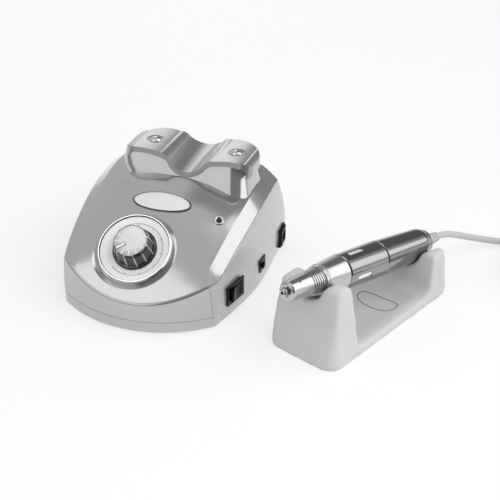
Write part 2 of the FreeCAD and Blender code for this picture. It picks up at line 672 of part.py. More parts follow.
# Tray: floor posts, screw bosses, foot recesses and the openings for the side and back fittings
floor_top = "foot_proud + floor_wall"
posts = []
for along in ("left", "right"):
    for end in ("front", "back"):
        across = f"board_x {'-' if along == 'left' else '+'} (board_long / 2 - post_inset)"
        deep = f"board_y {'-' if end == 'front' else '+'} (board_wide / 2 - post_inset)"
        posts.append(rod(f"post_{along}_{end}", unit, "post_radius", f"board_z - ({floor_top}) + 0.5",
                         across, deep, f"{floor_top} - 0.5"))
bosses = [rod(f"boss_{label}", unit, "base_boss", "base_screw_long", x, y, f"{floor_top} - 0.5")
          for label, x, y in BASE_SCREWS]
foot_wells = [rod(f"foot_well_{label}", unit, "foot_radius + seat_gap", "foot_high - foot_proud + 5",
                  x, y, "foot_proud - 5") for label, x, y in CORNERS]
screw_wells = []
for label, x, y in BASE_SCREWS:
    screw_wells.append(rod(f"screw_well_{label}", unit, "base_screw_head + seat_gap",
                           "base_recess + 5", x, y, "foot_proud - 5"))
    screw_wells.append(rod(f"screw_hole_{label}", unit, "base_screw_shank + press",
                           "base_screw_long + 1.2", x, y, "foot_proud"))
SEAT_OUT = "12"


def opening(name, base, long, high, flange_long, flange_high):
    """A wall opening with the flat seat that its flange lies on."""
    hole = block(f"{name}_hole", base, f"{long} + 2 * seat_gap", f"{high} + 2 * seat_gap", "24", z="-18")
    seat = block(f"{name}_seat", base, f"{flange_long} + 2 * seat_gap", f"{flange_high} + 2 * seat_gap",
                 SEAT_OUT)
    return fuse(f"{name}_opening", hole, seat)


def wall_pad(name, base, long, high, thick="3"):
    """A thick place inside the wall, so that a seat cut in it leaves enough to hold."""
    return block(f"{name}_pad", base, f"{long} + 6", f"{high} + 6", thick, z=f"-{thick}")


FITTINGS = [
    ("power", power, "switch_long", "switch_high", "switch_long + 2 * switch_rim",
     "switch_high + 2 * switch_rim"),
    ("slide", slide, "slide_long", "slide_high", "slide_long + 3", "slide_high + 2"),
    ("socket", socket, "socket_long", "socket_high", "socket_long", "socket_high"),
]
pads = [wall_pad(name, base, more_long, more_high) for name, base, _, _, more_long, more_high in FITTINGS]
openings = [opening(*fitting) for fitting in FITTINGS]
back_pad = block("back_pad", unit, "2 * back_panel_half - 2", "back_seat_wall", "back_panel_top - 3",
                 y="back_seat - back_seat_wall / 2", z="3")
back_face = block("back_face", unit, "2 * back_panel_half - 6", "20", "back_panel_top - 14",
                  y="back_seat + 10", z="12")
inlet_hole = block("inlet_hole", back, "inlet_long - 4 + 2 * seat_gap", "inlet_high - 4 + 2 * seat_gap",
                   "12", x="-inlet_x", y="inlet_z", z="-9")
fuse_hole = rod("fuse_hole", back, "fuse_radius - 1 + seat_gap", "12", "-fuse_x", "inlet_z", "-9")
jack_hole = rod("jack_hole", back, "jack_body + seat_gap", "12", "-jack_x", "jack_z", "-9")
inside_pads = common("inside_pads", fuse("wall_pads", back_pad, *pads), brow)
tray_solid = fuse("tray_solid", tray_shell, inside_pads, *posts, *bosses)
base_tray = cut("base_tray", tray_solid, back_face, inlet_hole, fuse_hole, jack_hole, *openings,
                *foot_wells, *screw_wells)
node("base_tray", base_tray)

# Hood: pillar, dial well, lamp hole, saddle screw holes
cup = rod("dial_cup", dial, "cup_radius", "cup_wall + dial_depth + 6", z="-cup_wall - dial_depth")
cup_in = common("dial_cup_inside", cup, brow)
dish = cone("dial_dish", dial, "bezel_radius + seat_gap", "dish_radius + 3.2", "dial_depth + 3.2",
            "-dial_depth")
shaft_hole = rod("bushing_hole", dial, "bushing_radius + slip", "20", z="-12")
lamp_hole = rod("lamp_hole", lamp, "lamp_radius + seat_gap", "20", z="-10")
lamp_seat = rod("lamp_seat", lamp, "lamp_bezel + seat_gap", "6")
ear_holes = [rod(f"ear_hole_{side}", saddle, "screw_shank + press", "screw_length + 4", x, y,
                 "ear_z_lip - saddle_wall - screw_length") for side, x, y in EARS]
hood_solid = fuse("hood_solid", hood_shell, pillar_cut, cup_in)
hood = cut("hood", hood_solid, pillar_hollow, dish, shaft_hole, lamp_hole, lamp_seat, *ear_holes)
node("hood", hood)

# Saddle cradle and its two domed screws
saddle_blank = common("saddle_blank", saddle_form, saddle_trim)
ear_top = "(ear_z_lip + ear_z_tail) / 2 + ear_rise * 0.6"
recesses = [rod(f"ear_recess_{side}", saddle, "screw_recess", "10", x, y,
                f"{ear_top} - recess_depth") for side, x, y in EARS]
clear_holes = [rod(f"ear_clear_{side}", saddle, "screw_shank + seat_gap", "30", x, y,
                   "ear_z_lip - 20") for side, x, y in EARS]
node("saddle_cradle", cut("saddle_cradle", saddle_blank, *recesses, *clear_holes))
screws = []
for side, x, y in EARS:
    place = frame(f"ear_screw_frame_{side}", saddle, x, y, f"{ear_top} - recess_depth")
    screws.append(turned(f"ear_screw_{side}", place, [
        ("0", "-screw_length"),
        ("screw_shank", "-screw_length"),
        ("screw_shank", "0"),
        ("screw_head", "0"),
        ("screw_head", "0.8", dome("screw_head", "screw_dome")),
        ("0", "0.8 + screw_dome"),
    ]))
node("saddle_screws", fuse("saddle_screws", *screws))

# Speed dial
plate_top = "plate_high - dial_depth"
node("dial_bezel", turned("dial_bezel", dial, [
    ("bezel_radius - bezel_rim", "-dial_depth"),
    ("bezel_radius", "-dial_depth"),
    ("bezel_radius", "bezel_high - 0.8"),
    ("bezel_radius - 0.8", "bezel_high"),
    ("bezel_radius - bezel_rim + 0.5", "bezel_high"),
    ("bezel_radius - bezel_rim", "bezel_high - 0.5"),
]))
node("dial_plate", turned("dial_plate", dial, [
    ("bushing_radius + slip", "-dial_depth"),
    ("bezel_radius - bezel_rim - slip", "-dial_depth"),
    ("bezel_radius - bezel_rim - slip", "bezel_high - 1.2"),
    ("knob_flange + 1.4", plate_top),
    ("bushing_radius + slip", plate_top),
]))
knob_base = f"{plate_top} + seat_gap"
nut_room = "nut_radius + 0.6"
knob_place = frame("knob_frame", dial, "0", "0", "0", yaw="pointer_angle")
knob = turned("speed_knob", knob_place, [
    (nut_room, knob_base),
    ("knob_flange", knob_base),
    ("knob_flange", f"{knob_base} + knob_flange_high * 0.6"),
    ("knob_flange - 0.8", f"{knob_base} + knob_flange_high"),
    ("knob_low", f"{knob_base} + knob_flange_high"),
    ("knob_top", f"{knob_base} + knob_high - 1"),
    ("knob_top - 1", f"{knob_base} + knob_high"),
    ("0", f"{knob_base} + knob_high"),
    ("0", "shaft_high"),
    ("shaft_radius + press", "shaft_high"),
    ("shaft_radius + press", "bushing_high - 1"),
    (nut_room, "bushing_high - 1"),
])
facet = pocket(knob, "facet", rectangle("3", "2 * knob_low * tan(180 / knob_facets)",
                                        x="knob_low + 1.5 - facet_depth"),
               "knob_high - knob_flange_high - 0.6", f"{knob_base} + knob_high")
around(knob, "facets", facet, "knob_facets")
pocket(knob, "pointer", rectangle("pointer_long", "pointer_wide", x="-knob_top + pointer_long / 2 - 0.5"),
       "pointer_deep", f"{knob_base} + knob_high")
node("speed_knob", knob)
pointer = new_body("knob_pointer", knob_place)
pad(pointer, "bar", rectangle("pointer_long - 1.6", "pointer_wide - 2 * slip",
                              x="-knob_top + pointer_long / 2 + 0.3 - slip"),
    "pointer_deep - 0.1", f"{knob_base} + knob_high - pointer_deep")
node("knob_pointer", pointer)
pot_top = "-dial_depth - cup_wall"
node("potentiometer", turned("potentiometer", dial, [
    ("0", f"{pot_top} - pot_high"),
    ("pot_radius", f"{pot_top} - pot_high"),
    ("pot_radius", pot_top),
    ("bushing_radius", pot_top),
    ("bushing_radius", f"{plate_top} + bushing_high - 0.6"),
    ("shaft_radius + slip", f"{plate_top} + bushing_high - 0.6"),
    ("shaft_radius + slip", f"{pot_top} - pot_high * 0.5"),
    ("0", f"{pot_top} - pot_high * 0.5"),
]))
node("potentiometer_shaft", turned("potentiometer_shaft", dial, [
    ("0", f"{pot_top} - pot_high * 0.5 + seat_gap"),
    ("shaft_radius", f"{pot_top} - pot_high * 0.5 + seat_gap"),
    ("shaft_radius", "shaft_high - seat_gap"),
    ("0", "shaft_high - seat_gap"),
]))
nut = new_body("potentiometer_nut", dial)
hexagon = [(f"nut_radius * cos({60 * i})", f"nut_radius * sin({60 * i})") for i in range(6)]
pad(nut, "hex", hexagon, "nut_high", plate_top)
pocket(nut, "thread", ("0", "0", "bushing_radius + slip"), "nut_high + 1", f"{plate_top} + nut_high")
node("potentiometer_nut", nut)

# Bare oval nameplate, curved with the hood
name_frame = frame("name_frame", unit, "0", "name_y", "name_z", roll="name_tilt")
doc.recompute()
half_long, half_wide, thick = value("name_half_long"), value("name_half_wide"), value("name_thick")
ellipse = Part.Ellipse(Vector(0, 0, 0), half_long, half_wide)
blank = Part.Face(Part.Wire(ellipse.toShape())).extrude(Vector(0, 0, 14))
blank.translate(Vector(0, 0, -8))
blank.Placement = name_frame.Placement.multiply(blank.Placement)
lift = name_frame.Placement.Rotation.multVec(Vector(0, 0, thick))
sunk = name_frame.Placement.Rotation.multVec(Vector(0, 0, 0.02))
raised_hull = outer_hull.Shape.translated(lift)
seat_hull = outer_hull.Shape.translated(sunk)
plate = doc.addObject("Part::Feature", "nameplate")
plate.Shape = blank.common(raised_hull).cut(seat_hull)
node("nameplate", plate)

# Pilot lamp
node("lamp_bezel", turned("lamp_bezel", lamp, [
    ("lamp_radius - lamp_wall", "-lamp_deep"),
    ("lamp_radius", "-lamp_deep"),
    ("lamp_radius", "0"),
    ("lamp_bezel", "0"),
    ("lamp_bezel", "lamp_flange * 0.5"),
    ("lamp_bezel - 0.5", "lamp_flange"),
    ("lamp_radius", "lamp_flange"),
    ("lamp_radius - lamp_wall", "lamp_flange - 0.5"),
]))
lens_radius = "lamp_radius - lamp_wall - press"
node("lamp_lens", turned("lamp_lens", lamp, [
    ("0", "-lamp_deep + 1"),
    (lens_radius, "-lamp_deep + 1"),
    (lens_radius, "-0.4", dome(lens_radius, "lens_dome")),
    ("0", "lens_dome - 0.4"),
]))

# Power switch: frame, rocker on its pivot pin
switch_frame = new_body("switch_frame", power)
pad(switch_frame, "housing", rectangle("switch_long", "switch_high"), "switch_deep", "-switch_deep")
pad(switch_frame, "flange", rectangle("switch_long + 2 * switch_rim", "switch_high + 2 * switch_rim"),
    "switch_flange", "0")
well_long, well_high = "switch_long - 2 * switch_rim", "switch_high - 2 * switch_rim"
pocket(switch_frame, "well", rectangle(well_long, well_high), "switch_flange + switch_deep - 3",
       "switch_flange")
node("switch_frame", switch_frame)
tip = f"({well_long}) / 2 - rocker_slack"
tipped = frame("rocker_frame", power, "0", "0", "0", pitch="rocker_tilt")
rocker_blank = free_sketch("rocker_side", tipped, [
    (f"-({tip}) + 1.6", "-3.2"),
    (f"{tip} - 1.6", "-3.2"),
    (tip, "rocker_stand - 1.5"),
    (f"{tip} - 0.6", "rocker_stand + 0.4", "-1.1"),
    (f"-({tip}) + 0.6", "rocker_stand + 0.4"),
    (f"-({tip})", "rocker_stand - 1.5"),
], y=f"({well_high}) / 2 - rocker_slack", roll="90")
rocker_solid = extruded("rocker_solid", rocker_blank, f"{well_high} - 2 * rocker_slack")
node("power_rocker", cut("power_rocker", rocker_solid, rod(
    "rocker_bore", power, "pivot_radius + turn_gap", "switch_high", y="switch_high / 2", roll="90")))
node("rocker_pin", rod("rocker_pin", power, "pivot_radius", f"{well_high} - 2 * press",
                       y=f"({well_high}) / 2 - press", roll="90"))

# Slide switch
slide_frame_body = new_body("slide_frame_plate", slide)
pad(slide_frame_body, "housing", rectangle("slide_long", "slide_high"), "slide_deep", "-slide_deep")
pad(slide_frame_body, "flange", rectangle("slide_long + 3", "slide_high + 2"), "slide_flange", "0")
pocket(slide_frame_body, "slot", rectangle("slot_long", "slot_high"), "slide_flange + tab_root",
       "slide_flange")
node("slide_switch_frame", slide_frame_body)
slider = new_body("slide_switch_tab", slide, x="tab_slack - (slot_long - tab_long) / 2")
pad(slider, "tab", rectangle("tab_long", "slot_high - 2 * tab_slack"),
    "tab_root + slide_flange + tab_stand - seat_gap", "slide_flange - slide_flange - tab_root + seat_gap")
node("slide_switch_tab", slider)

# Handpiece socket with its contacts
socket_block = new_body("socket_block", socket)
pad(socket_block, "block", rectangle("socket_long - 2", "socket_high - 2"),
    "socket_deep + socket_stand", "-socket_deep")
pad(socket_block, "body", rectangle("socket_long", "socket_high"), "socket_deep + socket_stand - 1",
    "-socket_deep")
pocket(socket_block, "bore", ("0", "0", "plug_nose + socket_slack"), "socket_bore_deep", "socket_stand")
bore_floor = "socket_stand - socket_bore_deep"
PINS = [(f"pin_circle * cos({angle})", f"pin_circle * sin({angle})") for angle in (90, 210, 330)]
contacts = []
for i, (x, y) in enumerate(PINS):
    pocket(socket_block, f"contact_hole_{i}", (x, y, "contact_radius"), "contact_long", bore_floor)
    contact = new_body(f"contact_{i}", socket, x, y)
    pad(contact, "tube", rectangle("1.2 * contact_radius", "1.2 * contact_radius"), "contact_long",
        f"{bore_floor} - contact_long")
    pocket(contact, "hole", ("0", "0", "pin_radius + slip"), "contact_long - 0.5", bore_floor)
    contacts.append(contact)
node("handpiece_socket", socket_block)
node("socket_contacts", fuse("socket_contacts", *contacts))

# Back connections: mains inlet, fuse holder, foot control jack
inlet = new_body("mains_inlet", back, x="-inlet_x", y="inlet_z")
pad(inlet, "body", rectangle("inlet_long - 4", "inlet_high - 4"), "inlet_deep", "-inlet_deep")
pad(inlet, "flange", rectangle("inlet_long", "inlet_high"), "inlet_flange", "0")
pocket(inlet, "well", rectangle("inlet_well_long", "inlet_well_high"), "inlet_well_deep",
       "inlet_flange")
for side, sign in SIDES:
    pad(inlet, f"blade_{side}", rectangle("1.6", "4", x=f"{sign} * 5", y="-3.5"), "8",
        "inlet_flange - inlet_well_deep")
node("mains_inlet", inlet)
fuse_place = frame("fuse_place", back, "-fuse_x", "inlet_z", "0")
holder = turned("fuse_holder", fuse_place, [
    ("0", "-fuse_deep"),
    ("fuse_radius - 1", "-fuse_deep"),
    ("fuse_radius - 1", "0"),
    ("fuse_radius", "0"),
    ("fuse_radius", "fuse_stand - 0.8"),
    ("fuse_radius - 0.8", "fuse_stand"),
    ("0", "fuse_stand"),
])
pocket(holder, "slot", rectangle("7", "1.4"), "1.2", "fuse_stand")
node("fuse_holder", holder)
jack_place = frame("jack_place", back, "-jack_x", "jack_z", "0")
node("foot_control_jack", turned("foot_control_jack", jack_place, [
    ("0", "-jack_deep"),
    ("jack_body", "-jack_deep"),
    ("jack_body", "0"),
    ("jack_nut", "0"),
    ("jack_nut", "jack_stand - 0.6"),
    ("jack_nut - 0.6", "jack_stand"),
    ("jack_bore", "jack_stand"),
    ("jack_bore", "1.5 - jack_deep"),
    ("0", "1.5 - jack_deep"),
]))

# Feet and base screws
feet = [rod(f"foot_{label}", unit, "foot_radius", "foot_high", x, y, "0") for label, x, y in CORNERS]
node("rubber_feet", fuse("rubber_feet", *feet))
base_screws = []
for label, x, y in BASE_SCREWS:
    place = frame(f"base_screw_frame_{label}", unit, x, y, "foot_proud + base_recess")
    base_screws.append(turned(f"base_screw_{label}", place, [
        ("0", "-1.4"),
        ("base_screw_head", "-1.4"),
        ("base_screw_head", "0"),
        ("base_screw_shank", "0"),
        ("base_screw_shank", "base_screw_long - 1"),
        ("0", "base_screw_long - 0.4"),
    ]))
node("base_screws", fuse("base_screws", *base_screws))

# Transformer and circuit board
core = new_body("transformer_core", unit, "core_x", "core_y", floor_top, roll="90")
core_half = "core_long / 2"
window_in, window_out = "core_leg", f"{core_half} - core_leg"
core_sketch = draw(body_sketch(core, "lamination"), [
    (f"-({core_half})", "0"), (core_half, "0"), (core_half, "core_high"), (f"-({core_half})", "core_high"),
])
for sign in ("", "-"):
    near, far = (window_in, window_out) if not sign else (window_out, window_in)
    draw(core_sketch, [
        (f"{sign}({near})", "core_leg"), (f"{sign}({far})", "core_leg"),
        (f"{sign}({far})", "core_high - core_leg"), (f"{sign}({near})", "core_high - core_leg"),
    ])
core_pad = core.newObject("PartDesign::Pad", "core_stack")
core_pad.Profile = core_sketch
core_pad.Midplane = True
core_pad.setExpression("Length", full("core_wide"))
core.Tip = core_pad
node("transformer_core", core)
winding = new_body("transformer_winding", unit, "core_x", "core_y", f"{floor_top} + core_leg + seat_gap")
wind_long, wind_wide = "2 * core_leg + 2 * winding_pad", "core_wide + 2 * winding_pad"
wind_high = "core_high - 2 * core_leg - 2 * seat_gap"
pad(winding, "winding", rectangle(wind_long, wind_wide), wind_high)
pocket(winding, "leg", rectangle("2 * core_leg + 2 * seat_gap", "core_wide + 2 * seat_gap"),
       f"{wind_high} + 1", wind_high)
node("transformer_winding", winding)
board = new_body("circuit_board", unit, "board_x", "board_y", "board_z")
pad(board, "board", rectangle("board_long", "board_wide"), "board_thick")
PARTS_ON_BOARD = (("driver", "14", "5", "18", "-12", "-16"), ("relay", "16", "12", "11", "10", "-14"),
                  ("capacitor", "10", "10", "16", "14", "14"), ("chip", "10", "8", "3", "-8", "8"))
for part_name, long, wide, high, x, y in PARTS_ON_BOARD:
    pad(board, part_name, rectangle(long, wide, x, y), high, "board_thick - 0.2")
node("circuit_board", board)

# Handpiece, turned about its own axis from the bur end to the cord end
hand = frame("hand_frame", unit, "hand_x", "hand_y", "hand_z", "-hand_yaw", "0", "-(90 + hand_pitch)")


def nose_at(height):
    """The nose cone's outer radius at a height between its round front and its end."""
    front = "(nose_start + nose_round)"
    return f"(nose_face + nose_round + (nose_radius - nose_face - nose_round) * " \
           f"({height} - {front}) / (nose_end - {front}))"


nose_profile = [
    ("nose_mouth", "nose_start"),
    ("nose_face", "nose_start", quarter("nose_round")),
    ("nose_face + nose_round", "nose_start + nose_round"),
]
for i in range(int(value("rib_count"))):
    start = f"(rib_start + {i} * rib_step)"
    nose_profile += [
        (nose_at(start), start),
        (f"{nose_at(start)} - rib_deep", f"{start} + 0.1"),
        (f"{nose_at(start)} - rib_deep", f"{start} + rib_wide"),
        (nose_at(f"({start} + rib_wide)"), f"{start} + rib_wide + 0.1"),
    ]
step_out = "bearing_radius + press"
nose_profile += [
    ("nose_radius", "nose_end"),
    ("band_radius - 0.5", "nose_end"),
    ("band_radius - 0.2", "nose_end + 1.4"),
    ("band_radius - 0.6", "nose_end + 1.6"),
    ("band_radius", "nose_end + 1.9"),
    ("band_radius", "band_end"),
    (step_out, "band_end"),
    (step_out, "bearing_front"),
    ("nose_mouth", "bearing_front - 0.4"),
]
nose = turned("nose_turned", hand, nose_profile)
hole_place = frame("nose_hole_frame", hand, "0", "0", "nose_hole_at", "nose_hole_turn", "90")
node("nose_cone", cut("nose_cone", nose, rod("nose_hole_tool", hole_place, "nose_hole", "5",
                                             z=f"{nose_at('nose_hole_at')} - nose_hole_deep")))
node("front_collar", turned("front_collar", hand, [
    (step_out, "band_end"),
    ("collar_front", "band_end"),
    ("collar_front + 0.2", "band_end + 0.5"),
    ("collar_radius", "collar_end - 1"),
    ("collar_radius - 0.5", "collar_end"),
    ("barrel_radius + press", "collar_end"),
    ("barrel_radius + press", "barrel_start"),
    (step_out, "barrel_start"),
]))
ring_in = "barrel_radius + turn_gap"
chuck = turned("chuck_ring_blank", hand, [
    (ring_in, "collar_end + groove_wide"),
    ("ring_front - 0.6", "collar_end + groove_wide"),
    ("ring_front", "collar_end + groove_wide + 0.6"),
    ("ring_radius", "ring_end - 0.8"),
    ("ring_radius - 0.6", "ring_end"),
    (ring_in, "ring_end"),
])
flat_tools = []
for i in range(int(value("flat_count"))):
    turned_frame = frame(f"flat_frame_{i}", hand, "0", "0", "0", yaw=f"{i} * 360 / flat_count + flat_turn")
    flat_tools.append(block(f"flat_tool_{i}", turned_frame, "4", "flat_wide", "flat_long",
                            x="ring_radius + 2 - flat_deep", z="flat_start"))
node("chuck_ring", cut("chuck_ring_flats", chuck, *flat_tools))
tail_bore = "can_radius + press - 1.4"
node("motor_sleeve", turned("motor_sleeve", hand, [
    ("can_radius + press", "ring_end + groove_wide"),
    ("sleeve_radius - 0.5", "ring_end + groove_wide"),
    ("sleeve_radius", "ring_end + groove_wide + 0.5"),
    ("sleeve_tail + 0.3", "sleeve_end - 8", "0.35"),
    ("sleeve_tail - 0.9", "sleeve_end"),
    (tail_bore, "sleeve_end"),
    (tail_bore, "sleeve_end - 2"),
    ("can_radius + press", "sleeve_end - 2"),
]))
node("rear_cap", turned("rear_cap", hand, [
    (f"{tail_bore} - press", "rear_bearing - 0.6"),
    (f"{tail_bore} - press", "sleeve_end"),
    ("sleeve_tail - 1.1", "sleeve_end"),
    ("sleeve_tail - 1.4", "sleeve_end + 2", "0.5"),
    ("cap_radius - 1.4", "cap_end"),
    ("relief_root + press", "cap_end"),
    ("relief_root + press", "cap_end - 5"),
    ("shaft_thin + 0.6", "cap_end - 5"),
    ("shaft_thin + 0.6", "rear_bearing + rear_bearing_high"),
    ("rear_bearing_radius + press", "rear_bearing + rear_bearing_high"),
    ("rear_bearing_radius + press", "rear_bearing - 0.6"),
]))
relief_profile = [("0", "cap_end - 5"), ("relief_root", "cap_end - 5"), ("relief_root", "cap_end"),
                  ("relief_radius", "cap_end"), ("relief_radius", "cap_end + 2")]
for i in range(5):
    start = f"(cap_end + 3 + {i} * (relief_end - cap_end - 4) / 5)"
    size = f"(relief_radius - (relief_radius - relief_tail) * ({start} - cap_end) / (relief_end - cap_end))"
    relief_profile += [(f"{size} - 0.6", start), (f"{size} - 0.6", f"{start} + 0.9"),
                       (size, f"{start} + 1.0"), (f"{size} - 0.2", f"{start} + 2.2")]
relief_profile += [("relief_tail", "relief_end - 0.6"), ("relief_tail", "relief_end"), ("0", "relief_end")]
node("strain_relief", turned("strain_relief", hand, relief_profile))
node("inner_barrel", turned("inner_barrel", hand, tube("barrel_bore", "barrel_radius",
                                                      "barrel_start + slip", "barrel_end")))
node("motor_can", turned("motor_can", hand, tube("can_bore", "can_radius", "can_start", "can_end")))
node("motor_magnets", turned("motor_magnets", hand, tube("magnet_bore", "can_bore - press",
                                                        "rotor_start - 1", "rotor_end + 1")))


def bearing(name, start, high, outer, inner):
    """A shielded ball bearing: two races with the shield set back between them."""
    wall = "bearing_wall"
    return turned(name, hand, [
        (inner, start), (f"{inner} + {wall}", start), (f"{inner} + {wall}", f"{start} + 0.35"),
        (f"{outer} - {wall}", f"{start} + 0.35"), (f"{outer} - {wall}", start), (outer, start),
        (outer, f"{start} + {high}"), (inner, f"{start} + {high}"),
    ])


front_bearings = [bearing(f"bearing_{where}", f"bearing_{where}", "bearing_high", "bearing_radius",
                          "spindle_radius + slip") for where in ("front", "back")]
node("spindle_bearings", fuse("spindle_bearings", *front_bearings))
node("rear_bearing", bearing("motor_rear_bearing", "rear_bearing", "rear_bearing_high",
                             "rear_bearing_radius", "shaft_thin + slip"))

# Turning parts of the handpiece
node("spindle", turned("spindle", hand, [
    ("spindle_bore", "spindle_start"),
    ("spindle_radius + 0.4", "spindle_start"),
    ("spindle_radius + 0.4", "bearing_front - 0.5"),
    ("spindle_radius", "bearing_front - 0.5"),
    ("spindle_radius", "spindle_end"),
    ("0", "spindle_end"),
    ("0", "collet_end + 4"),
    ("spindle_bore", "collet_end + 4"),
]))
collet_blank = turned("collet_blank", hand, [
    ("bur_radius", "collet_tip"),
    ("collet_head - 0.7", "collet_tip"),
    ("collet_head", "collet_tip + 0.8"),
    ("collet_head", "spindle_start - 1.2"),
    ("collet_radius", "spindle_start - 0.2"),
    ("collet_radius", "collet_end"),
    ("bur_radius", "collet_end"),
])
slots = []
for i in range(3):
    slot_frame = frame(f"collet_slot_frame_{i}", hand, "0", "0", "0", yaw=f"120 * {i}")
    slots.append(block(f"collet_slot_{i}", slot_frame, "4", "collet_slot", "12", x="2.4",
                       z="collet_tip - 1"))
node("collet", cut("collet_split", collet_blank, *slots))
node("drive_coupling", turned("drive_coupling", hand, [
    ("shaft_thin + press", "spindle_end + 6"),
    ("shaft_thin + press", "spindle_end"),
    ("spindle_radius + press", "spindle_end"),
    ("spindle_radius + press", "spindle_end - 6"),
    ("spindle_radius + 2", "spindle_end - 6"),
    ("spindle_radius + 2", "spindle_end + 6"),
]))
rotor = turned("rotor_core", hand, tube("shaft_thin + press", "rotor_radius", "rotor_start", "rotor_end"))
rotor_slot = pocket(rotor, "slot", rectangle("3.4", "1.2", x="rotor_radius - 1.2"),
                    "rotor_end - rotor_start + 1", "rotor_end")
around(rotor, "slots", rotor_slot, "7")
node("rotor_core", rotor)
node("commutator", turned("commutator", hand, tube("shaft_thin + press", "commutator_radius",
                                                  "commutator_start", "commutator_end")))
node("motor_shaft", turned("motor_shaft", hand, [
    ("0", "spindle_end + slip"), ("shaft_thin", "spindle_end + slip"), ("shaft_thin", "shaft_end"),
    ("0", "shaft_end"),
]))
carrier = turned("brush_carrier", hand, tube("commutator_radius + 0.6", "carrier_radius",
                                            "carrier_start", "carrier_end"))
pocket(carrier, "brush_slot", rectangle("2 * brush_reach + 2 * press", "brush_wide + 2 * press"),
       "5.6", "carrier_start + 6.4")
node("brush_carrier", carrier)
brush_low = "commutator_radius + turn_gap"
brushes = [block(f"brush_{side}", hand, f"brush_reach - ({brush_low})", "brush_wide", "5",
                 x=f"{sign} * (brush_reach + {brush_low}) / 2", z="carrier_start + 1.1")
           for side, sign in SIDES]
node("brushes", fuse("brushes", *brushes))

# Stand: a moulded block with two notched pillars and a scooped trough between them
stand = frame("stand_frame", unit, "stand_x", "stand_y", "0", yaw="-stand_yaw")
rear_peak_y = "(stand_long - tail_lean - rear_peak_wide)"
trough_end = f"({rear_peak_y} - rear_slope)"
side_outline = [
    ("0", "0"),
    ("stand_long", "0"),
    ("stand_long - tail_lean", "rear_peak - peak_round", quarter("peak_round")),
    ("stand_long - tail_lean - peak_round", "rear_peak"),
    (f"{rear_peak_y} + peak_round", "rear_peak", quarter("peak_round")),
    (rear_peak_y, "rear_peak - peak_round"),
    (trough_end, "trough_z + trough_round", "-trough_bow"),
    (f"{trough_end} - trough_round", "trough_z"),
    ("front_wall_back + step_round", "trough_z", "-step_bow"),
    ("front_wall_back", "trough_z + step_round"),
    ("front_peak_back", "stand_peak - peak_round", quarter("peak_round")),
    ("front_peak_back - peak_round", "stand_peak"),
    ("front_peak_y", "stand_peak", quarter("peak_round")),
    ("front_peak_y - peak_round", "stand_peak - peak_round - 1"),
]
side_sketch = free_sketch("stand_side", stand, side_outline, yaw="90", roll="90")
stand_side = extruded("stand_side_solid", side_sketch, "stand_wide")


def stand_plan(name, level, inset):
    left, right = inset, f"stand_wide - {inset}"
    rise = quarter("stand_corner")
    corners = [
        (f"{left} + stand_corner", "0"),
        (f"{right} - stand_corner", "0", rise),
        (right, "stand_corner"),
        (right, "stand_long - stand_corner", rise),
        (f"{right} - stand_corner", "stand_long"),
        (f"{left} + stand_corner", "stand_long", rise),
        (left, "stand_long - stand_corner"),
        (left, "stand_corner", rise),
    ]
    return free_sketch(name, stand, corners, z=level)


stand_plan_solid = loft("stand_plan_solid", [
    stand_plan("stand_plan_low", "0", "0"),
    stand_plan("stand_plan_high", "stand_peak + 2", "stand_side_lean"),
], True)


def cradle(name, where, start, length):
    """The room of a notch: a round bottom under the handpiece, with walls that flare at the top."""
    radius, flare, lift = f"notch_{where}", f"{where}_flare", f"{where}_lift"
    side = f"sqrt({radius}^2 - notch_round^2)"
    wide = f"({side} + {flare})"
    corners = [
        (f"-{wide}", "-stand_peak"),
        (wide, "-stand_peak"),
        (wide, f"-{lift}", f"-{flare} / 4"),
        (side, "notch_round", f"{radius} - notch_round"),
        (f"-{side}", "notch_round", f"-{flare} / 4"),
        (f"-{wide}", f"-{lift}"),
    ]
    sketch = free_sketch(f"{name}_outline", hand, corners, z=start)
    return extruded(name, sketch, length)


front_notch = cradle("front_notch", "front", "nose_start", "collar_end - nose_start")
rear_notch = cradle("rear_notch", "rear", "ring_end", "relief_end + 20 - ring_end")


def shoulder(sign, top, over):
    """A soft shoulder that runs from outside a side wall to just over a top."""
    edge = f"stand_side_lean * ({top} - edge_round) / stand_peak"
    low = (f"{sign} * (stand_wide / 2 + 1.5)", f"{top} - 1.4 * edge_round")
    high = (f"{sign} * (stand_wide / 2 - {edge} - 1.2 * edge_round)", f"{top} + {over}")
    chord = f"sqrt(({low[0]} - {high[0]})^2 + ({low[1]} - {high[1]})^2)"
    return low, high, f"edge_bow * {chord}"


def across(where, left_top, right_top, end, length):
    """The stand's form seen along its length: a lower ear at the left, soft shoulders on both."""
    right_low, right_high, right_rise = shoulder("1", right_top, "1")
    left_low, left_high, left_rise = shoulder("-1", left_top, "0")
    corners = [
        ("-stand_wide", "-2"),
        ("stand_wide", "-2"),
        ("stand_wide", right_low[1]),
        (*right_low, right_rise),
        right_high,
        ("0", right_high[1]),
        ("0", left_high[1]),
        (*left_high, left_rise),
        left_low,
        ("-stand_wide", left_low[1]),
    ]
    sketch = free_sketch(f"stand_across_{where}", stand, corners, x="stand_wide / 2", y=end, roll="90")
    return extruded(f"stand_{where}_form", sketch, length)


half_way = f"({trough_end} / 2 + 10)"
stand_forms = fuse("stand_forms", across("front", "left_front_peak", "stand_peak", half_way, "stand_long"),
                   across("rear", "left_rear_peak", "rear_peak", "stand_long + 5",
                          f"stand_long + 6 - {half_way}"))
stand_block = common("stand_block", stand_side, stand_plan_solid, stand_forms)
scoop = rod("scoop", stand, "scoop_radius", f"{trough_end} - front_wall_back - 2 * trough_round",
            "stand_wide / 2", f"{trough_end} - trough_round - 1",
            "trough_z - scoop_deep + scoop_radius", roll="90")
node("handpiece_stand", cut("handpiece_stand", stand_block, front_notch, rear_notch, scoop))

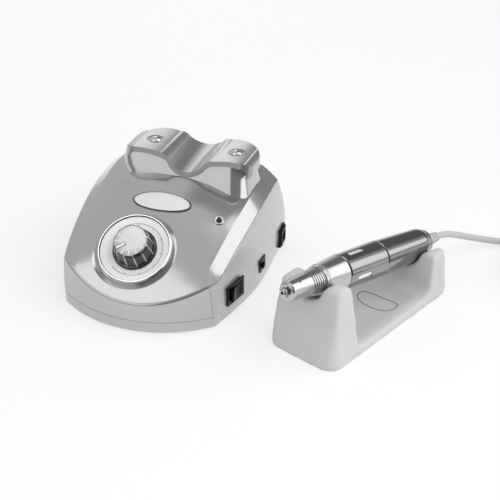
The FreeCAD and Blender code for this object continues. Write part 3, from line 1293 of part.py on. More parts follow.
# Cord: the free run from the strain relief, the put-away coil and the tail to the plug
doc.recompute()
origin = unit.Placement.Base
cord_radius = value("cord_radius")
hand_axis = hand.Placement.Rotation.multVec(Vector(0, 0, 1))
relief_tip = hand.Placement.multVec(Vector(0, 0, value("relief_end"))) - origin
RUN_POINTS = [
    tuple(relief_tip),
    tuple(relief_tip + hand_axis * 10.0), (205.0, 150.6, 17.8), (214.5, 160.6, 11.2),
    (226.5, 168.6, 6.2), (240.5, 174.0, 3.4), (255.5, 177.2, 2.6), (271.0, 177.3, 2.6),
    (285.0, 176.0, 2.6),
]


def rounded_path(points):
    """Straight runs joined by tangent arcs as large as the two runs allow."""
    edges = []
    radii = []
    start = points[0]
    for before, corner, after in zip(points, points[1:], points[2:]):
        arrive, leave = (corner - before).normalize(), (after - corner).normalize()
        turn = arrive.getAngle(leave)
        reach = 0.45 * min((corner - before).Length, (after - corner).Length)
        radius = reach / math.tan(turn / 2)
        radii.append(round(radius, 1))
        first, second = corner - arrive * reach, corner + leave * reach
        inward = (leave - arrive).normalize()
        middle = corner + inward * (radius / math.cos(turn / 2) - radius)
        edges.append(Part.LineSegment(start, first).toShape())
        edges.append(Part.Arc(first, middle, second).toShape())
        start = second
    edges.append(Part.LineSegment(start, points[-1]).toShape())
    print("arc radii", radii)
    return Part.Wire(edges)


def tube_along(name, path, heading):
    """A round tube along a wire that starts along heading."""
    start = path.OrderedVertexes[0].Point
    circle = Part.Wire(Part.Circle(start, heading, cord_radius).toShape())
    shape = path.makePipeShell([circle], True, False)
    ideal = math.pi * cord_radius ** 2 * path.Length
    print(name, "length", round(path.Length, 1), "volume ratio", round(shape.Volume / ideal, 4))
    made = doc.addObject("Part::Feature", name)
    made.Shape = shape
    return node(name, made)


run_points = [Vector(*point) + origin for point in RUN_POINTS]
tube_along("cord_run", rounded_path(run_points), run_points[1] - run_points[0])

# Coil: four layers of two turns that spiral in and out again
coil_inner, coil_pitch, coil_layer = (value(name) for name in ("coil_inner", "coil_pitch", "coil_layer"))
coil_turns = int(value("coil_turns"))
heading = (run_points[-1] - run_points[-2]).normalize()
coil_start = run_points[-1] + heading * (2 * cord_radius)
coil_outer = coil_inner + 1.75 * coil_pitch
centre = coil_start + Vector(heading.y, -heading.x, 0) * coil_outer
start_angle = math.atan2(-(centre - coil_start).y, -(centre - coil_start).x)


def coil_point(turn):
    """A point of the coil after some turns: steady spirals, with a climb in each reversing half turn."""
    phase = turn % 4
    to_inner = abs(phase - 2)
    widest = 1.75 if turn < 2 or turn > coil_turns - 2 else 1.5
    radius = coil_inner + coil_pitch * min(max(to_inner - 0.25, 0), widest)
    step = (turn + 0.25) / 2
    climb = min((step - math.floor(step)) / 0.25, 1) if step >= 1 else 1
    layer = max(math.floor(step) - 1 + climb, 0) if turn < coil_turns - 0.25 else coil_turns / 2 - 1
    angle = start_angle - 2 * math.pi * turn
    return centre + Vector(radius * math.cos(angle), radius * math.sin(angle), layer * coil_layer)


def coil_tangent(turn):
    ends = (max(turn - 0.01, 0), min(turn + 0.01, coil_turns))
    return (coil_point(ends[1]) - coil_point(ends[0])).normalize()


def biarc(start, leave, end, arrive):
    """Two arcs that join two points along their tangents."""
    across = end - start
    both = leave + arrive
    spread = 2 * (1 - leave.dot(arrive))
    along = across.dot(both)
    reach = (math.sqrt(along ** 2 + spread * across.dot(across)) - along) / spread
    first, second = start + leave * reach, end - arrive * reach
    joint = (first + second) * 0.5
    arcs = []
    for a, corner, b in ((start, first, joint), (joint, second, end)):
        half = (a + b) * 0.5
        out = corner - half
        chord = (b - a).Length / 2
        angle = math.atan2(out.Length, chord)
        middle = half + out.normalize() * (chord * math.tan(angle / 2))
        arcs.append(Part.Arc(a, middle, b).toShape())
    return arcs


quarters = [i / 4 for i in range(4 * coil_turns + 1)]
knots = [(coil_point(turn), coil_tangent(turn)) for turn in quarters]
lead = run_points[-1]
coil_edges = [Part.LineSegment(lead, knots[0][0]).toShape()]
for (a, leave), (b, arrive) in zip(knots, knots[1:]):
    coil_edges += biarc(a, leave, b, arrive)
coil_exit = knots[-1][0] + knots[-1][1] * (2 * cord_radius)
coil_edges.append(Part.LineSegment(knots[-1][0], coil_exit).toShape())
coil_path = Part.Wire(coil_edges)


def least_gap():
    """The least distance between turns of the coil, wall to wall, on points along it."""
    steps = 48
    points = [coil_point(i / steps) for i in range(coil_turns * steps + 1)]
    least = 1e9
    for i, point in enumerate(points):
        for other in points[i + steps // 2:]:
            least = min(least, point.distanceToPoint(other))
    return least - 2 * cord_radius


print("coil least gap to itself", round(least_gap(), 2))
print("coil start", [round(c, 2) for c in lead - origin], "exit", [round(c, 2) for c in coil_exit - origin])
tube_along("cord_coil", coil_path, heading)

# Tail from the coil to the plug, and the plug lying beside the coil
plug = frame("plug_frame", unit, "plug_x", "plug_y", "plug_radius", roll="90")
TAIL_POINTS = [
    tuple(coil_exit - origin),
    tuple(coil_exit - origin + knots[-1][1] * 18.0),
    (330.5, 165.5, 13.5), (341.0, 149.0, 8.0),
    (value("plug_x"), value("plug_y") + 16.0, value("plug_radius")),
    (value("plug_x"), value("plug_y"), value("plug_radius")),
]
tail_points = [Vector(*point) + origin for point in TAIL_POINTS]
tube_along("cord_tail", rounded_path(tail_points), tail_points[1] - tail_points[0])
plug_start = "plug_relief"
plug_end = "plug_relief + plug_long"
node("plug_body", turned("plug_body", plug, [
    ("0", "0"),
    ("plug_relief_radius - 0.6", "0"),
    ("plug_relief_radius", f"{plug_start}"),
    ("plug_radius - 1.2", f"{plug_start}"),
    ("plug_radius - 0.4", f"{plug_start} + 2"),
    ("plug_radius", f"{plug_end} - 12"),
    ("plug_radius", f"{plug_end} - 1"),
    ("plug_radius - 1", f"{plug_end}"),
    ("0", f"{plug_end}"),
]))
node("plug_sleeve", turned("plug_sleeve", plug, tube("plug_nose - plug_wall", "plug_nose", plug_end,
                                                    f"{plug_end} + plug_nose_long")))
pins = []
for i, (x, y) in enumerate(PINS):
    pins.append(rod(f"plug_pin_{i}", plug, "pin_radius", "pin_long", x, y, plug_end))
node("plug_pins", fuse("plug_pins", *pins))

doc.recompute()
failed = [item.Name for item in doc.Objects if {"Invalid", "Error"} & set(item.State)]
for name, item in NODES.items():
    shape = item.Shape
    if shape.isNull() or not shape.isValid() or shape.Volume <= 0:
        failed.append(name)
    item.Label = name
if failed:
    raise RuntimeError(f"these objects failed: {failed}")
os.makedirs("parts", exist_ok=True)
cordless = Part.makeCompound([item.Shape for name, item in NODES.items()
                              if not name.startswith(("cord_", "plug_"))])
for name, item in NODES.items():
    item.Shape.exportStep(f"parts/{name}.step")
box = cordless.optimalBoundingBox(True, False)
print("nodes", len(NODES), "box without cord", [round(v, 2) for v in (
    box.XMin, box.XMax, box.YMin, box.YMax, box.ZMin, box.ZMax)])
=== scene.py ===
"""Surgical micromotor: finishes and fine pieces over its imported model, as sidebar operators."""
import json
import math

import bmesh
import bpy
import numpy as np
from mathutils import Matrix, Vector


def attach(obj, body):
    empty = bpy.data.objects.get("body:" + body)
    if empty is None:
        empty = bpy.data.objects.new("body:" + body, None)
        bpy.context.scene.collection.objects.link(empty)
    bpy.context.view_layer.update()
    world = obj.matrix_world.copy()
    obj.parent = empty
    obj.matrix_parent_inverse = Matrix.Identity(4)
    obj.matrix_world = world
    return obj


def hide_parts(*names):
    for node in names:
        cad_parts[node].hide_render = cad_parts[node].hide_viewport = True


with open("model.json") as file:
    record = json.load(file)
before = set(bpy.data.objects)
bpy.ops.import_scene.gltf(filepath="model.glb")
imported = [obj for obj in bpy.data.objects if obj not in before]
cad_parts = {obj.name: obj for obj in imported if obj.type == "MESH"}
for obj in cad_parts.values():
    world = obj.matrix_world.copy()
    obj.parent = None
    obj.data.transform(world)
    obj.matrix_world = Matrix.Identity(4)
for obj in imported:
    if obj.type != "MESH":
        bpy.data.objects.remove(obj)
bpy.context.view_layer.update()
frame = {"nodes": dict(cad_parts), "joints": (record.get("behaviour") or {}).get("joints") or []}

bl_info = {
    "name": "Surgical micromotor",
    "version": (1, 0, 0),
    "blender": (4, 5, 0),
    "location": "View3D > Sidebar > Micromotor",
    "description": "Finishes, cord and studio for a table-top surgical micromotor",
    "category": "Object",
}

# Outlines are in millimetres of a local frame; fields and blends are in metres
MM = 0.001
JOINTS = {joint["name"]: joint for joint in frame["joints"]}


# Places: local frames of the dial and its knob, the nameplate, the handpiece and the stand

def place(origin, z_axis, x_axis=(1, 0, 0)):
    """A matrix with its origin, its Z axis and the direction nearest to its X axis."""
    z = Vector(z_axis).normalized()
    x = Vector(x_axis)
    x = (x - z * x.dot(z)).normalized()
    turn = Matrix((x, z.cross(x), z)).transposed()
    return Matrix.Translation(Vector(origin)) @ turn.to_4x4()


# The control unit's own origin, from which the set's other places are measured
ORIGIN = Vector((-66.56, -61.37, 0)) * MM
POINTER_ANGLE = math.radians(39)
NAME_TILT = math.radians(26.5)
STAND_YAW = math.radians(24.6)
HAND_AXIS = Vector(JOINTS["chuck_ring_twist"]["axis"])

DIAL = place(JOINTS["speed_knob_turn"]["pos_m"], JOINTS["speed_knob_turn"]["axis"])
KNOB = DIAL @ Matrix.Rotation(POINTER_ANGLE, 4, "Z")
HAND = place(JOINTS["chuck_ring_twist"]["pos_m"], HAND_AXIS, HAND_AXIS.cross((0, 0, 1)))
NAME = place(ORIGIN + Vector((0, 57.8, 65.0)) * MM, (0, -math.sin(NAME_TILT), math.cos(NAME_TILT)))
STAND = place(ORIGIN + Vector((97.1, -3.5, 0)) * MM, (0, 0, 1),
              (math.cos(STAND_YAW), -math.sin(STAND_YAW), 0))


# Meshes

def grid_faces(rows, columns, closed):
    """Quads between the points of a grid, row by row, joined round where it is closed."""
    across = np.arange(columns if closed else columns - 1)
    right = (across + 1) % columns
    row = np.arange(rows - 1)[:, None] * columns
    below = row + columns
    return np.stack([row + across, row + right, below + right, below + across], -1).reshape(-1, 4)


def new_piece(name, points, faces, finish, smooth=40):
    """A mesh object from an array of points in metres and lists of faces.

    Edges that turn by more than smooth, in degrees, are left sharp."""
    mesh = bpy.data.meshes.new(name)
    mesh.from_pydata(np.asarray(points, float).tolist(), [], faces)
    mesh.validate()
    mesh.update()
    mesh.polygons.foreach_set("use_smooth", np.ones(len(mesh.polygons), bool))
    mesh.set_sharp_from_angle(angle=math.radians(smooth))
    mesh.materials.append(finish)
    piece = bpy.data.objects.new(name, mesh)
    bpy.context.scene.collection.objects.link(piece)
    return piece


def moved(points, matrix):
    """An array of points in millimetres of a local frame, as metres of the whole object."""
    turn = np.array(matrix.to_3x3())
    return points * MM @ turn.T + np.array(matrix.translation)


def turned_piece(name, matrix, profile, finish, columns=96, smooth=30, facets=0):
    """A closed turned piece: its profile's radius and height carried round the frame's Z axis.

    A third number per row, with facets, is the share of the radius at which flats cut it: the
    radius is the lesser of R and share * R / cos(angle from the middle of the flat)."""
    rows = np.array(profile, float)
    angle = np.arange(columns) * 2 * math.pi / columns
    radius = np.repeat(rows[:, :1], columns, 1)
    if facets:
        half = math.pi / facets
        off = (angle + half) % (2 * half) - half
        radius = np.minimum(radius, rows[:, :1] * rows[:, 2:] / np.cos(off))
    height = np.repeat(rows[:, 1:2], columns, 1)
    points = np.stack([radius * np.cos(angle), radius * np.sin(angle), height], -1).reshape(-1, 3)
    poles = np.array([(0, 0, rows[0, 1]), (0, 0, rows[-1, 1])])
    faces = grid_faces(len(rows), columns, True).tolist()
    ring = np.arange(columns)
    last = (len(rows) - 1) * columns
    low, high = len(points), len(points) + 1
    faces += np.stack([ring * 0 + low, (ring + 1) % columns, ring], 1).tolist()
    faces += np.stack([ring * 0 + high, last + ring, last + (ring + 1) % columns], 1).tolist()
    return new_piece(name, moved(np.concatenate([points, poles]), matrix), faces, finish, smooth)


def loop_tube(name, path, radius, finish, sides=8):
    """A closed tube: at each point of a closed path a circle in the plane across the path."""
    along = np.roll(path, -1, 0) - np.roll(path, 1, 0)
    along /= np.linalg.norm(along, axis=1, keepdims=True)
    up = np.array((0.0, 0.0, 1.0))
    side = np.cross(along, up)
    side /= np.linalg.norm(side, axis=1, keepdims=True)
    lift = np.cross(side, along)
    angle = np.arange(sides) * 2 * math.pi / sides
    points = (path[:, None] + radius * (side[:, None] * np.cos(angle)[:, None]
                                        + lift[:, None] * np.sin(angle)[:, None]))
    around = np.concatenate([points, points[:1]]).reshape(-1, 3)
    faces = grid_faces(len(path) + 1, sides, True) % (len(path) * sides)
    return new_piece(name, around[:len(path) * sides], faces[:, ::-1].tolist(), finish, 60)


def superellipse(count, power):
    """Points round a superellipse: |cos t| and |sin t| to a power, with their signs."""
    angle = np.arange(count) * 2 * math.pi / count
    corner = np.stack([np.cos(angle), np.sin(angle)])
    return np.sign(corner) * np.abs(corner) ** power


def quadratic_terms(u, v):
    """1, u, v, u^2, u v and v^2 along a last axis."""
    return np.stack([np.ones_like(u), u, v, u * u, u * v, v * v], -1)


def ease(share):
    """0 to 1 with a soft start and end: 3 s^2 - 2 s^3."""
    share = np.clip(share, 0, 1)
    return share * share * (3 - 2 * share)


def points_of(mesh):
    """The points of a mesh as an array with three columns."""
    points = np.zeros(len(mesh.vertices) * 3)
    mesh.vertices.foreach_get("co", points)
    return points.reshape(-1, 3)


def dress(mesh, finish):
    """Gives a mesh one finish in place of those it has."""
    mesh.materials.clear()
    mesh.materials.append(finish)


def set_finish(node, finish):
    """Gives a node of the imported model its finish."""
    dress(frame["nodes"][node].data, finish)


def merged_copy(node, name):
    """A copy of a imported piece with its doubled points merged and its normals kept."""
    mesh = frame["nodes"][node].data.copy()
    mesh.name = name
    normals = np.zeros(len(mesh.loops) * 3)
    mesh.corner_normals.foreach_get("vector", normals)
    mesh.attributes.new("kept_normal", "FLOAT_VECTOR", "CORNER").data.foreach_set("vector", normals)
    shape = bmesh.new()
    shape.from_mesh(mesh)
    bmesh.ops.remove_doubles(shape, verts=shape.verts, dist=1e-6)
    shape.to_mesh(mesh)
    shape.free()
    normals = np.zeros(len(mesh.loops) * 3)
    mesh.attributes["kept_normal"].data.foreach_get("vector", normals)
    mesh.attributes.remove(mesh.attributes["kept_normal"])
    mesh.normals_split_custom_set(normals.reshape(-1, 3).tolist())
    piece = bpy.data.objects.new(name, mesh)
    bpy.context.scene.collection.objects.link(piece)
    return piece


def soft_copy(node, name, finish, voxel=0.0012, rounds=14, firm=0.006):
    """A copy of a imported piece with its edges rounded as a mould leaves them.

    Its merged mesh is remeshed in cells of voxel, then each point moves halfway to its neighbours'
    mean in each round. Under the height of firm, points rise and sink less and less, so that the
    piece still stands flat."""
    piece = merged_copy(node, name)
    remesh = piece.modifiers.new("even", "REMESH")
    remesh.mode = "VOXEL"
    remesh.voxel_size = voxel
    graph = bpy.context.evaluated_depsgraph_get()
    even = bpy.data.meshes.new_from_object(piece.evaluated_get(graph))
    piece.modifiers.clear()
    piece.data = even
    points = points_of(even)
    count = len(points)
    edges = np.zeros(len(even.edges) * 2, int)
    even.edges.foreach_get("vertices", edges)
    edges = edges.reshape(-1, 2)
    first, second = np.concatenate([edges, edges[:, ::-1]]).T
    near = np.bincount(first, minlength=count)[:, None]
    lift = np.clip(points[:, 2:] / firm, 0, 1)
    free = np.concatenate([np.ones_like(lift), np.ones_like(lift), lift], 1)
    for _ in range(rounds):
        total = np.stack([np.bincount(first, points[second, axis], count) for axis in range(3)], 1)
        points = points + 0.5 * free * (total / near - points)
    even.vertices.foreach_set("co", points.ravel())
    even.polygons.foreach_set("use_smooth", np.ones(len(even.polygons), bool))
    dress(even, finish)
    even.update()
    return piece


# Shader maths

class Field:
    """A number that varies over a surface; arithmetic on it adds Math nodes."""

    def __init__(self, finish, socket):
        self.finish = finish
        self.socket = socket

    def math(self, operation, *values):
        """A Math node's result from these values."""
        made = self.finish.add("Math", {"operation": operation}, *values)
        return made.out("Value")

    def __add__(self, other):
        return self.math("ADD", self, other)

    __radd__ = __add__

    def __sub__(self, other):
        return self.math("SUBTRACT", self, other)

    def __rsub__(self, other):
        return self.math("SUBTRACT", other, self)

    def __mul__(self, other):
        return self.math("MULTIPLY", self, other)

    __rmul__ = __mul__

    def __truediv__(self, other):
        return self.math("DIVIDE", self, other)

    def __pow__(self, other):
        return self.math("POWER", self, other)

    def __mod__(self, other):
        return self.math("FLOORED_MODULO", self, other)

    def __abs__(self):
        return self.math("ABSOLUTE", self)

    def over(self, edge):
        """1 where the field is over edge, else 0."""
        return self.math("GREATER_THAN", self, edge)

    def under(self, edge):
        """1 where the field is under edge, else 0."""
        return self.math("LESS_THAN", self, edge)

    def at_least(self, low):
        """The field, or low where it is under low."""
        return self.math("MAXIMUM", self, low)

    def at_most(self, high):
        """The field, or high where it is over high."""
        return self.math("MINIMUM", self, high)

    def between(self, low, high, soft):
        """1 from low to high, falling to 0 within soft outside them."""
        middle, half = (low + high) / 2, (high - low) / 2
        return ((half + soft - abs(self - middle)) / soft).at_least(0).at_most(1)


def reach(x, y):
    """Distance from a frame's Z axis in millimetres, as a field."""
    return (x * x + y * y) ** 0.5 * (1 / MM)


def bearing(x, y):
    """Angle from the X axis towards the Y axis in degrees, as a field."""
    return y.math("ARCTAN2", y, x) * (180 / math.pi)


class Added:
    """A node that was just added, with its outputs as fields or links."""

    def __init__(self, finish, node):
        self.finish = finish
        self.node = node

    def out(self, name=0):
        """One of its outputs, by name or number."""
        return Field(self.finish, self.node.outputs[name])


class Nodes:
    """A node tree with one method that adds any node."""

    def __init__(self, tree):
        self.tree = tree

    def feed(self, socket, value):
        """Links a field to a socket, or sets the socket to a constant."""
        if isinstance(value, Field):
            self.tree.links.new(value.socket, socket)
        else:
            socket.default_value = value

    def add(self, kind, settings=None, *values, **named):
        """Adds a node. Settings come first, then its sockets by order or by name."""
        node = self.tree.nodes.new(f"ShaderNode{kind}")
        for setting, value in (settings or {}).items():
            setattr(node, setting, value)
        for socket, value in zip(node.inputs, values):
            self.feed(socket, value)
        for socket, value in named.items():
            self.feed(node.inputs[socket.replace("_", " ")], value)
        return Added(self, node)

    def mix(self, share, first, second):
        """A colour between two colours."""
        made = self.add("Mix", {"data_type": "RGBA"})
        self.feed(made.node.inputs[0], share)
        self.feed(made.node.inputs[6], first if isinstance(first, Field) else (*first, 1))
        self.feed(made.node.inputs[7], second if isinstance(second, Field) else (*second, 1))
        return made.out(2)


class Finish(Nodes):
    """A material on one Principled shader. Constants are set on its sockets."""

    def __init__(self, name, colour, roughness, **sockets):
        self.material = bpy.data.materials.new(name)
        self.material.use_nodes = True
        super().__init__(self.material.node_tree)
        self.shader = self.tree.nodes["Principled BSDF"]
        self.set("Base Color", (*colour, 1))
        self.set("Roughness", roughness)
        for socket, value in sockets.items():
            self.set(socket.replace("_", " ").title().replace("Ior", "IOR"), value)

    def set(self, socket, value):
        """Feeds one of the shader's sockets."""
        self.feed(self.shader.inputs[socket], value)

    def here(self, matrix=None):
        """Object coordinates in metres, or coordinates in a local frame of the object."""
        point = self.add("TexCoord").out("Object")
        if matrix is None:
            return point
        inverse = matrix.inverted()
        return self.add("Mapping", None, Vector=point, Location=inverse.to_translation(),
                        Rotation=inverse.to_euler()).out("Vector")

    def axes(self, matrix=None):
        """The three coordinates as separate fields, in metres."""
        split = self.add("SeparateXYZ", None, self.here(matrix))
        return split.out("X"), split.out("Y"), split.out("Z")

    def noise(self, scale, detail=2.0, where=None):
        """Soft noise from 0 to 1, with scale in bumps per metre."""
        where = where or self.here()
        return self.add("TexNoise", None, Vector=where, Scale=scale, Detail=detail).out("Fac")

    def vector(self, x, y, z):
        """A vector of three fields or constants."""
        return self.add("CombineXYZ", None, x, y, z).out("Vector")

    def bump(self, height, distance, strength=1.0):
        """Raises the surface by a field of heights from 0 to 1, with distance in metres."""
        made = self.add("Bump", None, Height=height, Distance=distance, Strength=strength)
        self.set("Normal", made.out("Normal"))


# Finishes

def grey(level):
    """A neutral colour, given as the eye sees it from 0 to 1."""
    return (level ** 2.2,) * 3


def dimmed(colour, share):
    """A colour at a share of its light, at most white."""
    return tuple(min(c * share, 1) for c in colour)


def moulded(name, colour, roughness=0.45, grain=1600, depth=0.00001, shine=0.5):
    """Moulded plastic: a fine spark-eroded grain with slightly uneven gloss."""
    made = Finish(name, colour, roughness, specular_ior_level=shine)
    pits = made.noise(grain, 3)
    cloud = made.noise(35, 2)
    made.set("Base Color", made.mix(cloud, dimmed(colour, 0.9), colour))
    made.set("Roughness", cloud * 0.12 + (roughness - 0.06))
    made.bump(pits, depth)
    return made.material


def metallic_paint(name, colour, roughness=0.2, metallic=0.75):
    """Silver lacquer: tiny flakes under a clear coat."""
    made = Finish(name, colour, roughness, metallic=metallic, coat_weight=0.5, coat_roughness=0.08)
    flake = made.noise(9000, 1)
    cloud = made.noise(22, 2)
    share = flake * 0.6 + cloud * 0.4
    made.set("Base Color", made.mix(share, dimmed(colour, 0.9), dimmed(colour, 1.12)))
    made.set("Roughness", cloud * 0.06 + (roughness - 0.03))
    made.bump(flake, 0.000004, 0.5)
    return made.material


def bright_metal(name, colour, roughness=0.14, wear=0.05):
    """Plated or polished metal with faint handling haze."""
    made = Finish(name, colour, roughness, metallic=1.0)
    haze = made.noise(120, 3)
    made.set("Roughness", haze * wear + roughness)
    made.set("Base Color", made.mix(haze, dimmed(colour, 0.94), colour))
    return made.material


def lathed_metal(name, colour, roughness, matrix, pitch=0.00016, depth=0.0000012):
    """Turned metal: fine rings round an axis, with light haze."""
    made = Finish(name, colour, roughness, metallic=1.0)
    height = made.axes(matrix)[2]
    rings = made.noise(0.5 / pitch, 2, made.vector(0.0, 0.0, height))
    haze = made.noise(90, 3)
    made.set("Roughness", haze * 0.08 + rings * 0.06 + (roughness - 0.05))
    made.set("Base Color", made.mix(rings * 0.5 + haze * 0.5, dimmed(colour, 0.9), colour))
    made.bump(rings, depth)
    return made.material


# Cord: its route's points in millimetres from ORIGIN

RUN = [
    (193.72, 131.19, 25.49), (198.01, 140.0, 23.5), (205.0, 150.6, 17.8), (214.5, 160.6, 11.2),
    (226.5, 168.6, 6.2), (240.5, 174.0, 3.4), (255.5, 177.2, 2.6), (271.0, 177.3, 2.6),
    (285.0, 176.0, 2.6),
]
TAIL = [(330.5, 165.5, 13.5), (341.0, 149.0, 8.0), (341.0, 130.0, 6.4), (341.0, 114.0, 6.4)]
COIL_TURNS, LAYER_TURNS = 8, 2
# The part of a turn for which the coil keeps its radius before and after it turns back
HOLD = 0.25
# Its widest turns, in pitches over its innermost one: in the end layers and between them
WIDE_ENDS, WIDE_BETWEEN = 1.75, 1.5


def coil_route(start, heading, inner=23.0, pitch=6.5, layer=5.6, per_turn=16):
    """The put-away coil: steady spirals, layer on layer, that climb where they turn back."""
    turn = np.arange(0, COIL_TURNS * per_turn + 1) / per_turn
    in_ends = (turn < LAYER_TURNS) | (turn > COIL_TURNS - LAYER_TURNS)
    widest = np.where(in_ends, WIDE_ENDS, WIDE_BETWEEN)
    from_back = np.abs(turn % (2 * LAYER_TURNS) - LAYER_TURNS)
    radius = inner + pitch * np.clip(from_back - HOLD, 0, widest)
    step = (turn + HOLD) / LAYER_TURNS
    risen = (step - np.floor(step)) / (2 * HOLD / LAYER_TURNS)
    climb = np.where(step >= 1, np.clip(risen, 0, 1), 1)
    level = np.maximum(np.floor(step) - 1 + climb, 0)
    level = np.where(turn < COIL_TURNS - HOLD, level, COIL_TURNS / LAYER_TURNS - 1)
    right = np.array((heading[1], -heading[0], 0.0))
    centre = start + right * (inner + WIDE_ENDS * pitch)
    angle = math.atan2(*(start - centre)[[1, 0]]) - 2 * math.pi * turn
    out = np.stack([np.cos(angle), np.sin(angle), 0 * angle], 1)
    points = centre + out * radius[:, None]
    points[:, 2] += level * layer
    return points


def cord_route():
    """The whole cord from the strain relief to the plug, in metres, straight on both sides of
    its coil."""
    lead, trail = 5.0, (5.0, 23.0)
    run = np.array(RUN)
    heading = run[-1] - run[-2]
    heading /= np.linalg.norm(heading)
    coil = coil_route(run[-1] + lead * heading, heading)
    leave = coil[-1] + np.outer(trail, heading)
    return (np.concatenate([run, coil, leave, np.array(TAIL)]) + np.array(ORIGIN) / MM) * MM


class CordSizes(bpy.types.PropertyGroup):
    """What a user may change on the handpiece cord."""
    diameter: bpy.props.FloatProperty(
        name="Diameter", description="Outer diameter of the cord", default=0.005, min=0.003,
        max=0.008, subtype="DISTANCE", unit="LENGTH")
    colour: bpy.props.FloatVectorProperty(
        name="Colour", description="Colour of the cord's sheath", default=grey(0.77), size=3,
        min=0, max=1, subtype="COLOR")


class MICROMOTOR_OT_cord(bpy.types.Operator):
    """Lay the handpiece cord from its strain relief to its plug"""
    bl_idname = "micromotor.cord"
    bl_label = "Cord"

    def execute(self, context):
        sizes = context.scene.micromotor_cord
        finish = moulded("cord_sheath", tuple(sizes.colour), 0.5, 2500)
        route = cord_route()
        curve = bpy.data.curves.new("handpiece_cord", "CURVE")
        curve.dimensions = "3D"
        curve.bevel_depth = sizes.diameter / 2
        curve.bevel_resolution = 5
        curve.use_fill_caps = True
        curve.resolution_u = 6
        spline = curve.splines.new("NURBS")
        spline.points.add(len(route) - 1)
        spline.points.foreach_set("co", np.c_[route, np.ones(len(route))].ravel())
        spline.order_u = 3
        spline.use_endpoint_u = True
        curve.materials.append(finish)
        cord = bpy.data.objects.new("handpiece_cord", curve)
        context.scene.collection.objects.link(cord)
        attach(cord, "root")
        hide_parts("cord_run", "cord_coil", "cord_tail")
        return {"FINISHED"}


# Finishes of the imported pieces

class ShellSizes(bpy.types.PropertyGroup):
    """What a user may change on the control unit's housing."""
    hood_colour: bpy.props.FloatVectorProperty(
        name="Hood", description="Colour of the lacquered hood", default=grey(0.725), size=3, min=0,
        max=1, subtype="COLOR")
    tray_colour: bpy.props.FloatVectorProperty(
        name="Tray", description="Colour of the base tray and its cheeks", default=grey(0.73),
        size=3, min=0, max=1, subtype="COLOR")


class MICROMOTOR_OT_shell(bpy.types.Operator):
    """Finish the hood, the tray, the saddle and the nameplate"""
    bl_idname = "micromotor.shell"
    bl_label = "Housing"

    def execute(self, context):
        sizes = context.scene.micromotor_shell
        self.hood(metallic_paint("silver_lacquer", tuple(sizes.hood_colour), 0.14))
        set_finish("base_tray", metallic_paint("tray_lacquer", tuple(sizes.tray_colour), 0.3, 0.5))
        set_finish("saddle_cradle", metallic_paint("saddle_lacquer", grey(0.67), 0.26, 0.78))
        self.nameplate()
        set_finish("rubber_feet", moulded("foot_rubber", grey(0.2), 0.7))
        screws = bright_metal("screw_steel", grey(0.85), 0.16)
        set_finish("saddle_screws", screws)
        set_finish("base_screws", screws)
        return {"FINISHED"}

    def hood(self, finish):
        """The hood with its pillar's left side flared under the saddle.

        Points move by the flare times ease(distance left of the pillar's middle) times
        ease(height over the deck), to the left, forwards and a little up."""
        middle, half_wide, front = -0.066, 0.040, 0.015
        deck, pillar_high = 0.058, 0.016
        flare = np.array((-0.0070, -0.0015, 0.0016))
        hood = merged_copy("hood", "lacquered_hood")
        points = points_of(hood.data)
        x, y, z = points.T
        share = ease((middle - x) / half_wide) * ease((z - deck) / pillar_high) * (y > front)
        points = points + share[:, None] * flare
        hood.data.vertices.foreach_set("co", points.ravel())
        hood.data.update()
        dress(hood.data, finish)
        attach(hood, "root")
        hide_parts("hood")

    def nameplate(self):
        """The bare oval plate: rings of an ellipse at heights that follow the hood, with a rim.

        The CAD plate's upper side gives a quadratic surface w(u, v) by least squares; each ring is
        (a s cos t, b s sin t) with s its share of the ellipse, at w plus the ring's own height."""
        half_long, half_wide, columns = 22.7, 9.0, 96
        mesh = frame["nodes"]["nameplate"].data
        centre = np.zeros(3 * len(mesh.polygons))
        normal = np.zeros(3 * len(mesh.polygons))
        mesh.polygons.foreach_get("center", centre)
        mesh.polygons.foreach_get("normal", normal)
        turn = np.array(NAME.to_3x3())
        local = (centre.reshape(-1, 3) - np.array(NAME.translation)) @ turn / MM
        up = (normal.reshape(-1, 3) @ turn)[:, 2] > 0.8
        u, v, w = local[up].T
        fitted = np.linalg.lstsq(quadratic_terms(u, v), w, rcond=None)[0]
        share = np.array((0.25, 0.5, 0.75, 0.9, 0.935, 0.95, 0.985, 1.0, 1.0))
        high = np.array((0.12, 0.1, 0.06, 0.0, 0.0, 0.3, 0.3, 0.1, -0.7))
        angle = np.arange(columns) * 2 * math.pi / columns
        u = half_long * share[:, None] * np.cos(angle)
        v = half_wide * share[:, None] * np.sin(angle)
        w = quadratic_terms(u, v) @ fitted + high[:, None]
        crown = (0, 0, fitted[0] + high[0])
        points = np.concatenate([np.stack([u, v, w], -1).reshape(-1, 3), [crown]])
        ring = np.arange(columns)
        faces = grid_faces(len(share), columns, True)[:, ::-1].tolist()
        faces += np.stack([ring * 0 + len(points) - 1, ring, (ring + 1) % columns], 1).tolist()
        faces.append((ring + columns * (len(share) - 1)).tolist()[::-1])
        made = Finish("plate_silver", grey(0.94), 0.3, metallic=0.35, coat_weight=0.3,
                      coat_roughness=0.1)
        x, y, z = made.axes(NAME)
        out = ((x / (half_long * MM)) ** 2 + (y / (half_wide * MM)) ** 2) ** 0.5
        rim = out.between(0.945, 1.2, 0.01)
        brushed = made.noise(1.0, 2, made.vector(x * 40, y * 4000, z * 40))
        made.set("Base Color", made.mix(rim, made.mix(brushed, grey(0.9), grey(0.97)), grey(0.36)))
        made.set("Metallic", rim * 0.6 + 0.35)
        made.set("Roughness", brushed * 0.1 + 0.24)
        plate = new_piece("oval_plate", moved(points, NAME), faces, made.material, 30)
        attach(plate, "root")
        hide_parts("nameplate")


